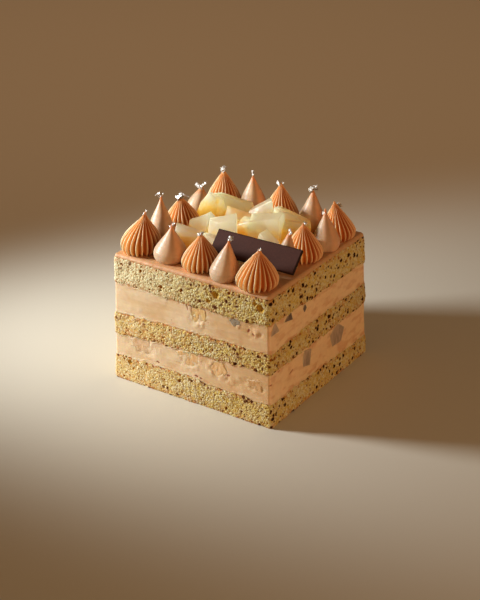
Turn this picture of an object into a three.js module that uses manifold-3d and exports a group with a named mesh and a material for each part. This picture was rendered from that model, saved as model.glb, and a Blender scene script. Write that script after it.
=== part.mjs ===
// A square layered chiffon cake: three sponges, two creams with diced pear, an iced top, a border of
// ridged and plain piped kisses tipped with silver leaf, a heap of pear chunks and a chocolate plaque.
// Millimetres, +Z up. The origin is the centre of the underside, and -Y is the wide front face.

import * as THREE from 'three';
import { mergeVertices } from 'three/addons/utils/BufferGeometryUtils.js';
import Module from 'manifold-3d';

const wasm = await Module();
wasm.setup();

// Driving dimensions of the cut block
const cakeWidth = 120;
const cakeDepth = 117;
const icingTop = 86;
const sideTaper = 2.6;
const cornerRadius = 2.5;
const sideSteps = 12;
const cornerSteps = 3;
const seamRecess = 0.45;
const crumbDepth = 0.7;
const seamRippleLength = 17;
const seamPhaseStep = 2.1;
const seamPhaseSkew = 1.7;

// Gaps between neighbouring pieces
const layerGap = 0.2;
const cutGap = 0.3;
const restGap = 0.15;

// Height of each seam between layers at the corners (-X -Y), (+X -Y), (+X +Y) and (-X +Y), the rise of
// the seam at mid-width, and the size of its ripple
const seams = [
  { corners: [0, 0, 0, 0], bow: 0, ripple: 0 },
  { corners: [17.5, 16, 13.4, 15], bow: 0.3, ripple: 0.7 },
  { corners: [30.2, 35.3, 35.6, 33], bow: 1.7, ripple: 0.6 },
  { corners: [46.9, 49.3, 51.5, 49], bow: 0.6, ripple: 0.6 },
  { corners: [67.4, 67, 66, 66.5], bow: -1.6, ripple: 0.6 },
  { corners: [84, 83.6, 83.6, 83.8], bow: 0, ripple: 0.3 },
  { corners: [icingTop, icingTop, icingTop, icingTop], bow: 0, ripple: 0 },
];

// Wall sections between two seams: share of the height, inward recess, and share of the crumb relief
const spongeWall = [
  { level: 0, recess: seamRecess, crumb: 0 },
  { level: 0.25, recess: 0, crumb: 1 },
  { level: 0.72, recess: 0, crumb: 1 },
  { level: 1, recess: seamRecess, crumb: 0 },
];
const creamWall = [
  { level: 0, recess: seamRecess, crumb: 0 },
  { level: 0.12, recess: 1, crumb: 0.2 },
  { level: 0.85, recess: 1, crumb: 0.2 },
  { level: 1, recess: seamRecess, crumb: 0 },
];
const icingWall = [
  { level: 0, recess: seamRecess, crumb: 0 },
  { level: 0.4, recess: 0.1, crumb: 0 },
  { level: 0.8, recess: 0.7, crumb: 0 },
  { level: 1, recess: 2, crumb: 0 },
];

// Piped kisses stand on the icing: place, radius, height, lean of the tip from the base, shoulder and neck
// of the outline, and whether ridged
const ridgeCount = 22;
const ridgeDepth = 0.19;
const ridgeEnd = 0.8;
const plainSides = 16;
const kissBelly = 0.22;
const kissBase = 0.8;
const kissBaseCurve = 3;
const kissTipRadius = 0.55;
const leanCurve = 1.5;
const ridgedStations = [0, 0.1, 0.25, 0.45, 0.66, 0.86, 1];
const plainStations = [0, 0.08, 0.24, 0.44, 0.64, 0.84, 1];
const tipSides = 4;
const kisses = [
  { x: -45.8, y: -42.7, radius: 12.6, height: 26.1, lean: [3.5, 2.2], shape: [1.8, 1.7], ridged: true },
  { x: -22.4, y: -43.4, radius: 10.3, height: 23.4, lean: [1.9, 0.4], shape: [1.45, 1.45], ridged: false },
  { x: 0.2, y: -43.2, radius: 11.8, height: 22.6, lean: [1.1, 0.1], shape: [1.4, 1.15], ridged: true },
  { x: 20.6, y: -47.9, radius: 9, height: 24.9, lean: [3, 1.4], shape: [1.2, 1.15], ridged: false },
  { x: 42.6, y: -46.2, radius: 12.8, height: 23.1, lean: [1.1, 0.9], shape: [1.45, 1.15], ridged: true },
  { x: 44.2, y: -18.6, radius: 7.6, height: 23.4, lean: [0.7, 4.3], shape: [1.2, 1], ridged: false },
  { x: 45.2, y: 1.3, radius: 11.9, height: 22.8, lean: [-0.6, 0.1], shape: [1.35, 1.1], ridged: true },
  { x: 49.2, y: 21.5, radius: 8.4, height: 26.6, lean: [-0.8, -0.8], shape: [1.3, 1.4], ridged: false },
  { x: 46, y: 41.3, radius: 11.3, height: 23.4, lean: [-2.8, -0.9], shape: [1.2, 1.1], ridged: true },
  { x: 25.7, y: 42, radius: 8.8, height: 26.6, lean: [0.3, 1.8], shape: [1.4, 1.15], ridged: false },
  { x: 1.7, y: 43.3, radius: 11.9, height: 25.8, lean: [0, 0.8], shape: [1.25, 1.1], ridged: true },
  { x: -19.6, y: 43.7, radius: 9.2, height: 26.8, lean: [-0.4, 0.5], shape: [1.35, 1.15], ridged: false },
  { x: -42.2, y: 42.3, radius: 12, height: 26, lean: [0.4, 0.3], shape: [1.3, 1], ridged: true },
  { x: -48, y: 20.4, radius: 8.3, height: 20.6, lean: [2.5, 2.4], shape: [1.9, 1.1], ridged: false },
  { x: -45.2, y: 0, radius: 12, height: 21, lean: [-0.4, 0.3], shape: [1.4, 1.05], ridged: true },
  { x: -46.5, y: -20.6, radius: 8.2, height: 28, lean: [-1.2, 3], shape: [1.4, 1.4], ridged: false },
];

// Silver leaf: small shards fused to each kiss just under its tip, with the shares by which they vary in
// size, narrow and tilt
const flakesPerKiss = 2;
const flakeLength = 4;
const flakeWidth = 2.4;
const flakeThickness = 0.5;
const flakeDrop = 0.9;
const flakeFirstDrop = 0.36;
const flakeSpread = 0.25;
const flakeTaper = 0.35;
const flakeTilt = 0.45;

// Chocolate plaque, leaning back between the front kisses and the pears
const plaqueLength = 59.5;
const plaqueWidth = 16;
const plaqueThickness = 2.2;
const plaqueBevel = 0.35;
const plaqueTilt = 46;
const plaqueFoot = { x: 28.6, y: -32, z: 5 };

// Pear chunks on the icing: place of the centre above the icing, size, turn in degrees, narrowing of
// the section towards its top, fall of the height towards the far end, and shift of the top along and
// across the chunk
const chunkSquareness = 0.45;
const chunkSides = 8;
const chunkEnds = 0.84;
const chunkEndStart = 0.78;
const pears = [
  { at: [-31.4, 19, 11.7], size: [14.5, 19, 24], turn: [0, 0, 85], ridge: 0.62, fall: 0.42, lean: [0, -3] },
  { at: [-1.1, 24.2, 10.5], size: [17, 12, 21], turn: [4, 0, 190], ridge: 0.5, fall: 0.42, lean: [0, 0] },
  { at: [16.2, 4, 9.6], size: [20, 10.5, 19], turn: [0, 0, 5], ridge: 0.25, fall: -0.2, lean: [0, 2] },
  { at: [-7.2, -10.4, 9.3], size: [17, 10, 18.4], turn: [0, -7, 10], ridge: 0.25, fall: 0.03, lean: [1, 2] },
  { at: [-26.4, -5.9, 7.8], size: [13, 13, 15.4], turn: [0, 4, 185], ridge: 0.5, fall: 0.24, lean: [0, -2] },
  { at: [-24.6, -20.8, 5.4], size: [17, 13, 11.4], turn: [-8, 0, 20], ridge: 0.4, fall: 0.1, lean: [-2, 4] },
  { at: [21.7, 25.2, 9.8], size: [22.5, 12, 19], turn: [4, 0, 18], ridge: 0.35, fall: 0.42, lean: [0, 0] },
  { at: [-20, 25.6, 8.7], size: [21, 9.5, 17.4], turn: [4, 0, 12], ridge: 0.2, fall: 0.08, lean: [0, 0] },
  { at: [-8.6, 11.4, 7], size: [19, 15, 14.6], turn: [0, 5, 30], ridge: 0.15, fall: 0.1, lean: [1, 0] },
  { at: [27.8, 11.5, 9], size: [17, 12, 18], turn: [-4, 0, 40], ridge: 0.3, fall: 0.25, lean: [1, 2] },
  { at: [24.6, -4.6, 6], size: [14, 12, 12.5], turn: [6, 4, -15], ridge: 0.45, fall: 0.3, lean: [0, 0] },
  { at: [-3.5, -21.8, 6], size: [17, 11, 12], turn: [-8, 0, -10], ridge: 0.3, fall: 0.3, lean: [0, 0] },
  { at: [0.5, 3.5, 7.7], size: [12, 10, 15.4], turn: [0, 7, -14], ridge: 0.25, fall: 0.05, lean: [2.5, 3] },
];

// Outward and rightward directions of each side of the cake, and its distance from the middle
const sides = {
  front: { out: new THREE.Vector3(0, -1, 0), right: new THREE.Vector3(1, 0, 0), reach: cakeDepth / 2 },
  right: { out: new THREE.Vector3(1, 0, 0), right: new THREE.Vector3(0, 1, 0), reach: cakeWidth / 2 },
  back: { out: new THREE.Vector3(0, 1, 0), right: new THREE.Vector3(1, 0, 0), reach: cakeDepth / 2 },
  left: { out: new THREE.Vector3(-1, 0, 0), right: new THREE.Vector3(0, 1, 0), reach: cakeWidth / 2 },
};

// Diced pear showing at the cut sides: layer, side, place along it, height, size, corners and turn
const dieDepth = 9;
const dieTaper = 0.72;
const dieProud = 1;
const dice = [
  { cream: 'upper', side: 'front', along: 6.4, height: 61.8, size: [10, 14], corners: 5, turn: 20 },
  { cream: 'upper', side: 'front', along: 33.4, height: 64, size: [6.4, 5.2], corners: 5, turn: 0 },
  { cream: 'lower', side: 'front', along: -36.8, height: 28.6, size: [15, 9.5], corners: 5, turn: -15 },
  { cream: 'lower', side: 'front', along: -0.3, height: 29, size: [14, 11], corners: 6, turn: 10 },
  { cream: 'lower', side: 'front', along: 20.6, height: 28.6, size: [10.8, 9.5], corners: 5, turn: 30 },
  { cream: 'lower', side: 'front', along: 47.6, height: 25.4, size: [9.4, 7], corners: 4, turn: 8 },
  { cream: 'upper', side: 'right', along: -50, height: 62.6, size: [7.6, 7.3], corners: 3, turn: 30 },
  { cream: 'upper', side: 'right', along: -34.4, height: 63.9, size: [8, 5], corners: 3, turn: 12 },
  { cream: 'upper', side: 'right', along: -17, height: 63, size: [3, 4], corners: 4, turn: 40 },
  { cream: 'lower', side: 'right', along: 20.6, height: 28.4, size: [13.5, 11.4], corners: 5, turn: 50 },
  { cream: 'lower', side: 'right', along: -15.6, height: 28.4, size: [8.6, 11], corners: 4, turn: -12 },
  { cream: 'upper', side: 'back', along: 24, height: 60.5, size: [11, 9], corners: 5, turn: 35 },
  { cream: 'upper', side: 'back', along: -31, height: 59, size: [9, 11], corners: 4, turn: 15 },
  { cream: 'lower', side: 'back', along: -8, height: 26.5, size: [13, 10], corners: 5, turn: 0 },
  { cream: 'lower', side: 'back', along: 38, height: 25.5, size: [10, 9], corners: 4, turn: 25 },
  { cream: 'upper', side: 'left', along: 14, height: 60, size: [12, 9], corners: 5, turn: 10 },
  { cream: 'upper', side: 'left', along: -33, height: 58.5, size: [8, 8], corners: 4, turn: 30 },
  { cream: 'lower', side: 'left', along: 31, height: 24.5, size: [13, 10], corners: 5, turn: -20 },
  { cream: 'lower', side: 'left', along: -12, height: 25, size: [9, 8], corners: 4, turn: 15 },
];

const looks = {
  sponge: { color: 0xdccb8c, roughness: 0.95, metalness: 0 },
  cream: { color: 0xe6bf96, roughness: 0.6, metalness: 0 },
  icing: { color: 0xdca884, roughness: 0.55, metalness: 0 },
  ridgedKiss: { color: 0xe8a468, roughness: 0.55, metalness: 0 },
  plainKiss: { color: 0xe0b592, roughness: 0.45, metalness: 0 },
  pear: { color: 0xecd894, roughness: 0.25, metalness: 0 },
  die: { color: 0xdcbf92, roughness: 0.35, metalness: 0 },
  chocolate: { color: 0x452e2b, roughness: 0.4, metalness: 0 },
};

// Repeatable random numbers from 0 to 1
function seededRandom(seed) {
  let state = seed;
  return () => {
    state = (state * 1664525 + 1013904223) % 4294967296;
    return state / 4294967296;
  };
}

// A closed surface through a stack of rings, listed from the bottom up and anticlockwise from above,
// with a fan of triangles from a centre point closing each end. A ring may have a whole fraction of the
// points of the one below it: each of its points then joins several of the lower ones
function loft(rings, bottomCentre, topCentre) {
  const points = [...rings.flat(), bottomCentre, topCentre];
  const index = [];
  let start = 0;
  for (let level = 0; level < rings.length - 1; level += 1) {
    const count = rings[level].length;
    const upperCount = rings[level + 1].length;
    const share = count / upperCount;
    const upperStart = start + count;
    for (let k = 0; k < count; k += 1) {
      const above = upperStart + (Math.round(k / share) % upperCount);
      const aboveNext = upperStart + (Math.round((k + 1) / share) % upperCount);
      const next = start + ((k + 1) % count);
      index.push(start + k, next, aboveNext);
      if (above !== aboveNext) {
        index.push(start + k, aboveNext, above);
      }
    }
    start = upperStart;
  }
  const bottomCount = rings[0].length;
  for (let k = 0; k < bottomCount; k += 1) {
    index.push(points.length - 2, (k + 1) % bottomCount, k);
  }
  const topCount = rings[rings.length - 1].length;
  for (let k = 0; k < topCount; k += 1) {
    index.push(points.length - 1, start + k, start + ((k + 1) % topCount));
  }
  const geometry = new THREE.BufferGeometry();
  geometry.setFromPoints(points);
  geometry.setIndex(index);
  return geometry;
}

function centreOf(ring) {
  const sum = ring.reduce((total, point) => total.add(point), new THREE.Vector3());
  return sum.divideScalar(ring.length);
}

// A solid that can be joined and cut, from a closed geometry
function solidFrom(geometry) {
  const bare = geometry.clone();
  bare.deleteAttribute('normal');
  bare.deleteAttribute('uv');
  const merged = mergeVertices(bare, 1e-4);
  return new wasm.Manifold(new wasm.Mesh({
    numProp: 3,
    vertProperties: new Float32Array(merged.attributes.position.array),
    triVerts: new Uint32Array(merged.index.array),
  }));
}

function geometryFrom(solid) {
  const mesh = solid.getMesh();
  const geometry = new THREE.BufferGeometry();
  geometry.setAttribute('position', new THREE.BufferAttribute(mesh.vertProperties, mesh.numProp));
  geometry.setIndex(new THREE.BufferAttribute(mesh.triVerts, 1));
  return geometry;
}

function addPart(group, name, geometry, look) {
  const shaded = geometry.index ? geometry.toNonIndexed() : geometry;
  shaded.computeVertexNormals();
  const mesh = new THREE.Mesh(shaded, new THREE.MeshStandardMaterial(look));
  mesh.name = name;
  group.add(mesh);
  return mesh;
}

// Points of the block's rounded outline with their outward directions, anticlockwise from above
function outlinePoints() {
  const halfX = cakeWidth / 2 - cornerRadius;
  const halfY = cakeDepth / 2 - cornerRadius;
  const corners = [[1, -1], [1, 1], [-1, 1], [-1, -1]];
  const outline = [];
  corners.forEach(([signX, signY], corner) => {
    const start = (corner - 1) * 90;
    for (let k = 0; k <= cornerSteps; k += 1) {
      const angle = THREE.MathUtils.degToRad(start + (90 * k) / cornerSteps);
      const out = new THREE.Vector2(Math.cos(angle), Math.sin(angle));
      const at = new THREE.Vector2(signX * halfX, signY * halfY).addScaledVector(out, cornerRadius);
      outline.push({ at, out, straight: false });
    }
    const [nextX, nextY] = corners[(corner + 1) % corners.length];
    const from = outline[outline.length - 1];
    const to = new THREE.Vector2(nextX * halfX, nextY * halfY).addScaledVector(from.out, cornerRadius);
    for (let k = 1; k < sideSteps; k += 1) {
      outline.push({ at: from.at.clone().lerp(to, k / sideSteps), out: from.out, straight: true });
    }
  });
  return outline;
}

// Height of a seam at a place: a blend of its corner heights, a bow across the width, and a ripple
function seamHeight(seam, number, x, y) {
  const u = x / cakeWidth + 0.5;
  const v = y / cakeDepth + 0.5;
  const [frontLeft, frontRight, backRight, backLeft] = seam.corners;
  const front = THREE.MathUtils.lerp(frontLeft, frontRight, u);
  const back = THREE.MathUtils.lerp(backLeft, backRight, u);
  const bow = seam.bow * (1 - (2 * u - 1) ** 2);
  const phase = number * seamPhaseStep;
  const waveX = Math.sin(x / seamRippleLength + phase);
  const waveY = Math.sin(y / seamRippleLength - seamPhaseSkew * phase);
  return THREE.MathUtils.lerp(front, back, v) + bow + (seam.ripple * (waveX + waveY)) / 2;
}

// One layer of the block between two seams, its wall drawn in by the taper, the recess and the crumb
function layerGeometry(lower, wall, seed) {
  const random = seededRandom(seed);
  const upper = lower + 1;
  const bottomShift = lower === 0 ? 0 : layerGap / 2;
  const topShift = upper === seams.length - 1 ? 0 : -layerGap / 2;
  const outline = outlinePoints();
  const rings = wall.map(({ level, recess, crumb }) => outline.map(({ at, out, straight }) => {
    const low = seamHeight(seams[lower], lower, at.x, at.y) + bottomShift;
    const high = seamHeight(seams[upper], upper, at.x, at.y) + topShift;
    const z = THREE.MathUtils.lerp(low, high, level);
    const relief = straight ? crumb * crumbDepth * random() ** 2 : 0;
    const inward = recess + relief;
    const drawnIn = (sideTaper * z) / icingTop;
    return new THREE.Vector3(
      at.x * (1 - drawnIn / (cakeWidth / 2)) - out.x * inward,
      at.y * (1 - drawnIn / (cakeDepth / 2)) - out.y * inward,
      z,
    );
  }));
  const bottomCentre = new THREE.Vector3(0, 0, seamHeight(seams[lower], lower, 0, 0) + bottomShift);
  const topCentre = new THREE.Vector3(0, 0, seamHeight(seams[upper], upper, 0, 0) + topShift);
  return loft(rings, bottomCentre, topCentre);
}

// Share of a kiss's full radius at a share of its height: round under the belly, above it a shoulder and a
// neck that draws in to the tip
function kissProfile(t, [shoulder, neck]) {
  if (t < kissBelly) {
    const down = (kissBelly - t) / kissBelly;
    return 1 - (1 - kissBase) * down ** kissBaseCurve;
  }
  const up = (t - kissBelly) / (1 - kissBelly);
  return (1 - up ** shoulder) ** neck;
}

// One piped kiss: rings about a leaning axis, with alternate ridge and valley points if it is ridged, and
// fewer points in the smooth tip
function kissGeometry({ x, y, radius, height, lean, shape, ridged }) {
  const stations = ridged ? ridgedStations : plainStations;
  const fullSides = ridged ? 2 * ridgeCount : plainSides;
  const rings = stations.map((t) => {
    const mean = Math.max(radius * kissProfile(t, shape), kissTipRadius);
    const sides = t < ridgeEnd ? fullSides : tipSides;
    const ring = [];
    for (let k = 0; k < sides; k += 1) {
      const angle = (2 * Math.PI * k) / sides;
      const valley = ridged && k % 2 === 1 && t < ridgeEnd;
      const reach = valley ? mean * (1 - ridgeDepth) : mean;
      const axisX = x + lean[0] * t ** leanCurve;
      const axisY = y + lean[1] * t ** leanCurve;
      ring.push(new THREE.Vector3(
        axisX + reach * Math.cos(angle),
        axisY + reach * Math.sin(angle),
        restGap + t * height,
      ));
    }
    return ring;
  });
  return loft(rings, centreOf(rings[0]), centreOf(rings[rings.length - 1]));
}

// A shard of silver leaf: a thin plate, narrower at its far end
function flakeGeometry(random) {
  const length = flakeLength * (1 + flakeSpread * (2 * random() - 1));
  const width = flakeWidth * (1 + flakeSpread * (2 * random() - 1));
  const geometry = new THREE.BoxGeometry(length, width, flakeThickness);
  const points = geometry.attributes.position;
  for (let k = 0; k < points.count; k += 1) {
    const along = points.getX(k) / (length / 2);
    points.setY(k, points.getY(k) * (1 - flakeTaper * along));
  }
  return geometry;
}

// A kiss with its flakes of leaf, which lie across the tip at different turns
function leafedKiss(kiss, number) {
  const random = seededRandom(number + 11);
  let solid = solidFrom(kissGeometry(kiss));
  for (let k = 0; k < flakesPerKiss; k += 1) {
    const tiltX = flakeTilt * (2 * random() - 1);
    const tiltY = flakeTilt * (2 * random() - 1);
    const turn = new THREE.Euler(tiltX, tiltY, Math.PI * (k / flakesPerKiss + random()));
    const place = new THREE.Vector3(
      kiss.x + kiss.lean[0],
      kiss.y + kiss.lean[1],
      restGap + kiss.height - flakeFirstDrop - flakeDrop * k,
    );
    const flake = flakeGeometry(random);
    flake.applyMatrix4(new THREE.Matrix4().makeRotationFromEuler(turn).setPosition(place));
    solid = solid.add(solidFrom(flake));
  }
  return solid;
}

// The plaque's bevelled slab, wider on every side by 'grow', centred on its own middle
function plaqueGeometry(grow) {
  const halfX = plaqueLength / 2 - plaqueBevel + grow;
  const halfY = plaqueWidth / 2 - plaqueBevel + grow;
  const shape = new THREE.Shape();
  shape.moveTo(-halfX, -halfY);
  shape.lineTo(halfX, -halfY);
  shape.lineTo(halfX, halfY);
  shape.lineTo(-halfX, halfY);
  shape.closePath();
  const depth = plaqueThickness - 2 * plaqueBevel + 2 * grow;
  const geometry = new THREE.ExtrudeGeometry(shape, {
    depth,
    bevelEnabled: true,
    bevelThickness: plaqueBevel,
    bevelSize: plaqueBevel,
    bevelSegments: 1,
  });
  geometry.translate(0, 0, -depth / 2);
  return geometry;
}

// Turn and place of the plaque: its lower edge on the foot line, rising towards +Y
function plaqueMatrix() {
  const tilt = THREE.MathUtils.degToRad(plaqueTilt);
  const place = new THREE.Vector3(
    plaqueFoot.x,
    plaqueFoot.y + (plaqueWidth / 2) * Math.cos(tilt),
    plaqueFoot.z + (plaqueWidth / 2) * Math.sin(tilt),
  );
  return new THREE.Matrix4().makeRotationX(tilt).setPosition(place);
}

// One pear chunk: a squarish section carried along its length, narrower at the top, falling towards the
// far end, leaning, its ends drawn in, then turned and set in its place
function pearGeometry({ at, size, turn, ridge, fall, lean }, grow) {
  const [halfX, halfY, halfZ] = size.map((side) => side / 2 + grow);
  const stations = [[-1, chunkEnds], [-chunkEndStart, 1], [chunkEndStart, 1], [1, chunkEnds]];
  const rings = stations.map(([along, spread]) => {
    const ring = [];
    const drop = 1 - (fall * (along + 1)) / 2;
    for (let k = 0; k < chunkSides; k += 1) {
      const angle = (2 * Math.PI * (k + 0.5)) / chunkSides;
      const across = Math.sign(Math.cos(angle)) * Math.abs(Math.cos(angle)) ** chunkSquareness;
      const rise = Math.sign(Math.sin(angle)) * Math.abs(Math.sin(angle)) ** chunkSquareness;
      const narrow = 1 - (ridge * (rise + 1)) / 2;
      const level = (rise * spread + 1) * drop;
      ring.push(new THREE.Vector3(
        along * halfX + (lean[0] * level) / 2,
        across * spread * narrow * halfY + (lean[1] * level) / 2,
        halfZ * (level - 1),
      ));
    }
    return ring;
  });
  const geometry = loft(rings, centreOf(rings[0]), centreOf(rings[rings.length - 1]));
  const angles = turn.map((degrees) => THREE.MathUtils.degToRad(degrees));
  const matrix = new THREE.Matrix4().makeRotationFromEuler(new THREE.Euler(...angles, 'ZYX'));
  return geometry.applyMatrix4(matrix.setPosition(new THREE.Vector3(...at)));
}

// A pear die at a cut side: a tapering prism that runs inward from just outside the wall
function dieGeometry({ side, along, height, size, corners, turn }, grow) {
  const face = sides[side];
  const handed = face.right.clone().cross(new THREE.Vector3(0, 0, 1)).dot(face.out);
  const inner = face.reach - dieDepth - grow;
  const ringAt = (reach, spread) => {
    const ring = [];
    for (let k = 0; k < corners; k += 1) {
      const angle = (2 * Math.PI * (k + 0.5)) / corners + THREE.MathUtils.degToRad(turn);
      const halfWidth = (size[0] / 2) * spread + grow;
      const halfHeight = (size[1] / 2) * spread + grow;
      const u = along + handed * halfWidth * Math.cos(angle) * Math.SQRT2;
      const w = height + halfHeight * Math.sin(angle) * Math.SQRT2;
      const point = face.out.clone().multiplyScalar(reach).addScaledVector(face.right, u);
      ring.push(point.setZ(w));
    }
    return ring;
  };
  const rings = [ringAt(inner, dieTaper), ringAt(face.reach + dieProud, 1)];
  return loft(rings, centreOf(rings[0]), centreOf(rings[1]));
}

// The block of layers, with a pocket in the creams round each die
function buildBlock() {
  const block = new THREE.Group();
  const names = ['sponge_bottom', 'cream_lower', 'sponge_middle', 'cream_upper', 'sponge_top', 'icing_top'];
  names.forEach((name, lower) => {
    if (name === 'icing_top') {
      addPart(block, name, layerGeometry(lower, icingWall, lower + 1), looks.icing);
    } else if (name.startsWith('sponge')) {
      addPart(block, name, layerGeometry(lower, spongeWall, lower + 1), looks.sponge);
    } else {
      const whole = solidFrom(layerGeometry(lower, creamWall, lower + 1));
      let pocketed = whole;
      dice.forEach((die, number) => {
        if (name === `cream_${die.cream}`) {
          pocketed = pocketed.subtract(solidFrom(dieGeometry(die, cutGap)));
          const cut = solidFrom(dieGeometry(die, 0)).intersect(whole);
          addPart(block, `cream_pear_${number + 1}`, geometryFrom(cut), looks.die);
        }
      });
      addPart(block, name, geometryFrom(pocketed), looks.cream);
    }
  });
  return block;
}

// What stands on the icing, in a group whose floor is the icing's top
function buildTopping() {
  const topping = new THREE.Group();
  topping.position.z = icingTop;

  const plaqueAt = plaqueMatrix();
  const plaque = addPart(topping, 'chocolate_plaque', plaqueGeometry(0), looks.chocolate);
  plaque.applyMatrix4(plaqueAt);
  const plaqueRoom = solidFrom(plaqueGeometry(cutGap).applyMatrix4(plaqueAt));

  kisses.forEach((kiss, number) => {
    const name = `${kiss.ridged ? 'ridged' : 'plain'}_kiss_${Math.floor(number / 2) + 1}`;
    const look = kiss.ridged ? looks.ridgedKiss : looks.plainKiss;
    addPart(topping, name, geometryFrom(leafedKiss(kiss, number).subtract(plaqueRoom)), look);
  });

  const floor = new THREE.BoxGeometry(cakeWidth, cakeDepth, icingTop);
  floor.translate(0, 0, restGap - icingTop / 2);
  const floorRoom = solidFrom(floor);
  const kissRooms = kisses.map((kiss) => {
    const grown = { ...kiss, radius: kiss.radius + cutGap, ridged: false };
    return solidFrom(kissGeometry(grown));
  });
  const taken = [plaqueRoom, floorRoom, ...kissRooms];
  pears.forEach((pear, number) => {
    let chunk = solidFrom(pearGeometry(pear, 0));
    taken.forEach((room) => {
      chunk = chunk.subtract(room);
    });
    addPart(topping, `pear_piece_${number + 1}`, geometryFrom(chunk), looks.pear);
    taken.push(solidFrom(pearGeometry(pear, cutGap)));
  });
  return topping;
}

const cake = new THREE.Group();
cake.add(buildBlock(), buildTopping());

export default cake;
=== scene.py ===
import itertools

import bpy
import numpy as np
from mathutils import Matrix


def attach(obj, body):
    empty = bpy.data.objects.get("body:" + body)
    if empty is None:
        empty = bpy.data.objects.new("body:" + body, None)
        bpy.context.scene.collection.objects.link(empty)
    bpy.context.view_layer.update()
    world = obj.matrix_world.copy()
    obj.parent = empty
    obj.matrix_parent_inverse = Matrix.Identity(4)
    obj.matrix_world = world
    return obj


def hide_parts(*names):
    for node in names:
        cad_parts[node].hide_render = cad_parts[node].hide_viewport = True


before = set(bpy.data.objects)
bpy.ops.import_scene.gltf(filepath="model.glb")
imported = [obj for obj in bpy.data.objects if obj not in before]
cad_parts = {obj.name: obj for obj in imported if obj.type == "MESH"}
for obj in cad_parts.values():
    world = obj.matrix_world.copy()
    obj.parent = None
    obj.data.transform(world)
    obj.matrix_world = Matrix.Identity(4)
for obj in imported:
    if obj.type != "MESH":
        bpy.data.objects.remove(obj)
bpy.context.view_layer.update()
print("frame loaded:", len(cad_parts), "nodes")


# An eye-scale colour, 0 to 255, as linear light
def tint(red, green, blue):
    share = np.array([red, green, blue]) / 255
    return np.where(share <= 0.04045, share / 12.92, ((share + 0.055) / 1.055) ** 2.4)


# Repeatable numbers from 0 to 1, one for each whole-number cell
def cellNumber(cells, seed):
    mixed = cells[..., 0] * 73856093 ^ cells[..., 1] * 19349663 ^ cells[..., 2] * 83492791 ^ seed * 2654435761
    mixed &= 0xFFFFFFFF
    mixed = ((mixed ^ mixed >> 15) * 2246822519) & 0xFFFFFFFF
    mixed = ((mixed ^ mixed >> 13) * 3266489917) & 0xFFFFFFFF
    return (mixed ^ mixed >> 16) / 4294967296


# Smooth noise from 0 to 1: the numbers of the eight corners of each cell, blended across it
def cellNoise(points, size, seed):
    scaled = points / size
    cells = np.floor(scaled).astype(np.int64)
    part = scaled - cells
    part = part * part * (3 - 2 * part)
    total = np.zeros(points.shape[:-1])
    for corner in itertools.product((0, 1), repeat=3):
        weight = np.prod(np.where(corner, part, 1 - part), axis=-1)
        total += weight * cellNumber(cells + np.array(corner), seed)
    return total


# Layers of noise added up, each half the size and weight of the last, from -1 to 1. A piece's settings name
# its noises by size, seed and number of layers
def noise(points, kind, shift=0):
    size, seed, layers = kind
    total = np.zeros(points.shape[:-1])
    for layer in range(layers):
        total += cellNoise(points, np.asarray(size) / 2**layer, seed + shift + 17 * layer) / 2**layer
    return total / (1 - 0.5**layers) - 1


# A share from 0 to 1 that eases in and out between two values
def ease(low, high, value):
    share = np.clip((value - low) / (high - low), 0, 1)
    return share * share * (3 - 2 * share)


# Two colours mixed point by point, with the share of the second
def blend(first, second, share):
    return first + (second - first) * np.asarray(share)[..., None]


# The cells about each point, one neighbour at a time, with a seeded place in each, counted in cells
def neighbours(points, cell, seed):
    home = np.floor(points / cell).astype(np.int64)
    for offset in itertools.product((-1, 0, 1), repeat=3):
        cells = home + np.array(offset)
        yield cells, cells + np.stack([cellNumber(cells, seed + k) for k in (1, 2, 3)], -1)


# Balls scattered one to a cell and cut open by a surface: how deep each opens inward of the surface,
# and how far inside a ball a point lies, from 0 at its skin to 1 at its middle
def cutBalls(points, inward, balls):
    cell, seed = balls["cell"], balls["seed"]
    small, large = balls["radii"]
    depth, inside = np.zeros((2, *points.shape[:-1]))
    for cells, middle in neighbours(points, cell, seed):
        radius = small + (large - small) * cellNumber(cells, seed + 4) ** 2
        gap = middle * cell - points
        along = (gap * inward).sum(-1)
        aside = (gap * gap).sum(-1) - along**2
        room = radius**2 - aside
        opened = (cellNumber(cells, seed) < balls["keep"]) & (room > along**2)
        reach = along + np.sqrt(np.maximum(room, 0))
        depth = np.where(opened, np.maximum(depth, reach), depth)
        inside = np.where(opened, np.maximum(inside, 1 - (aside + along**2) / radius**2), inside)
    return depth, inside


# Grains packed one to a cell: the distances to the nearest and the second nearest grain's middle, and a
# number from 0 to 1 that belongs to the nearest one
def packedGrains(points, cell, seed):
    nearest, second = np.full((2, *points.shape[:-1]), 9.0)
    own = np.zeros(points.shape[:-1])
    for cells, middle in neighbours(points, cell, seed):
        gap = np.linalg.norm(middle - points / cell, axis=-1)
        own = np.where(gap < nearest, cellNumber(cells, seed + 5), own)
        second = np.minimum(second, np.maximum(nearest, gap))
        nearest = np.minimum(nearest, gap)
    return nearest, second, own


# Four-sided faces of an open grid, from the numbers of its points
def gridFaces(index):
    return np.stack([index[:-1, :-1], index[1:, :-1], index[1:, 1:], index[:-1, 1:]], -1).reshape(-1, 4)


# Four-sided faces of a grid that closes round on itself, rows from the bottom up, with the two end
# fans; the points of the grid are followed by the bottom and the top pole
def tubeFaces(rows, columns):
    row = np.arange(rows - 1)[:, None] * columns
    here = np.arange(columns)[None]
    after = (here + 1) % columns
    quads = np.stack([row + here, row + after, row + columns + after, row + columns + here], -1)
    start = (rows - 1) * columns
    pole = rows * columns
    here, after = here[0], after[0]
    bottom = np.stack([np.full(columns, pole), after, here], -1)
    top = np.stack([np.full(columns, pole + 1), start + here, start + after], -1)
    return [quads.reshape(-1, 4), np.concatenate([bottom, top])]


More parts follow.
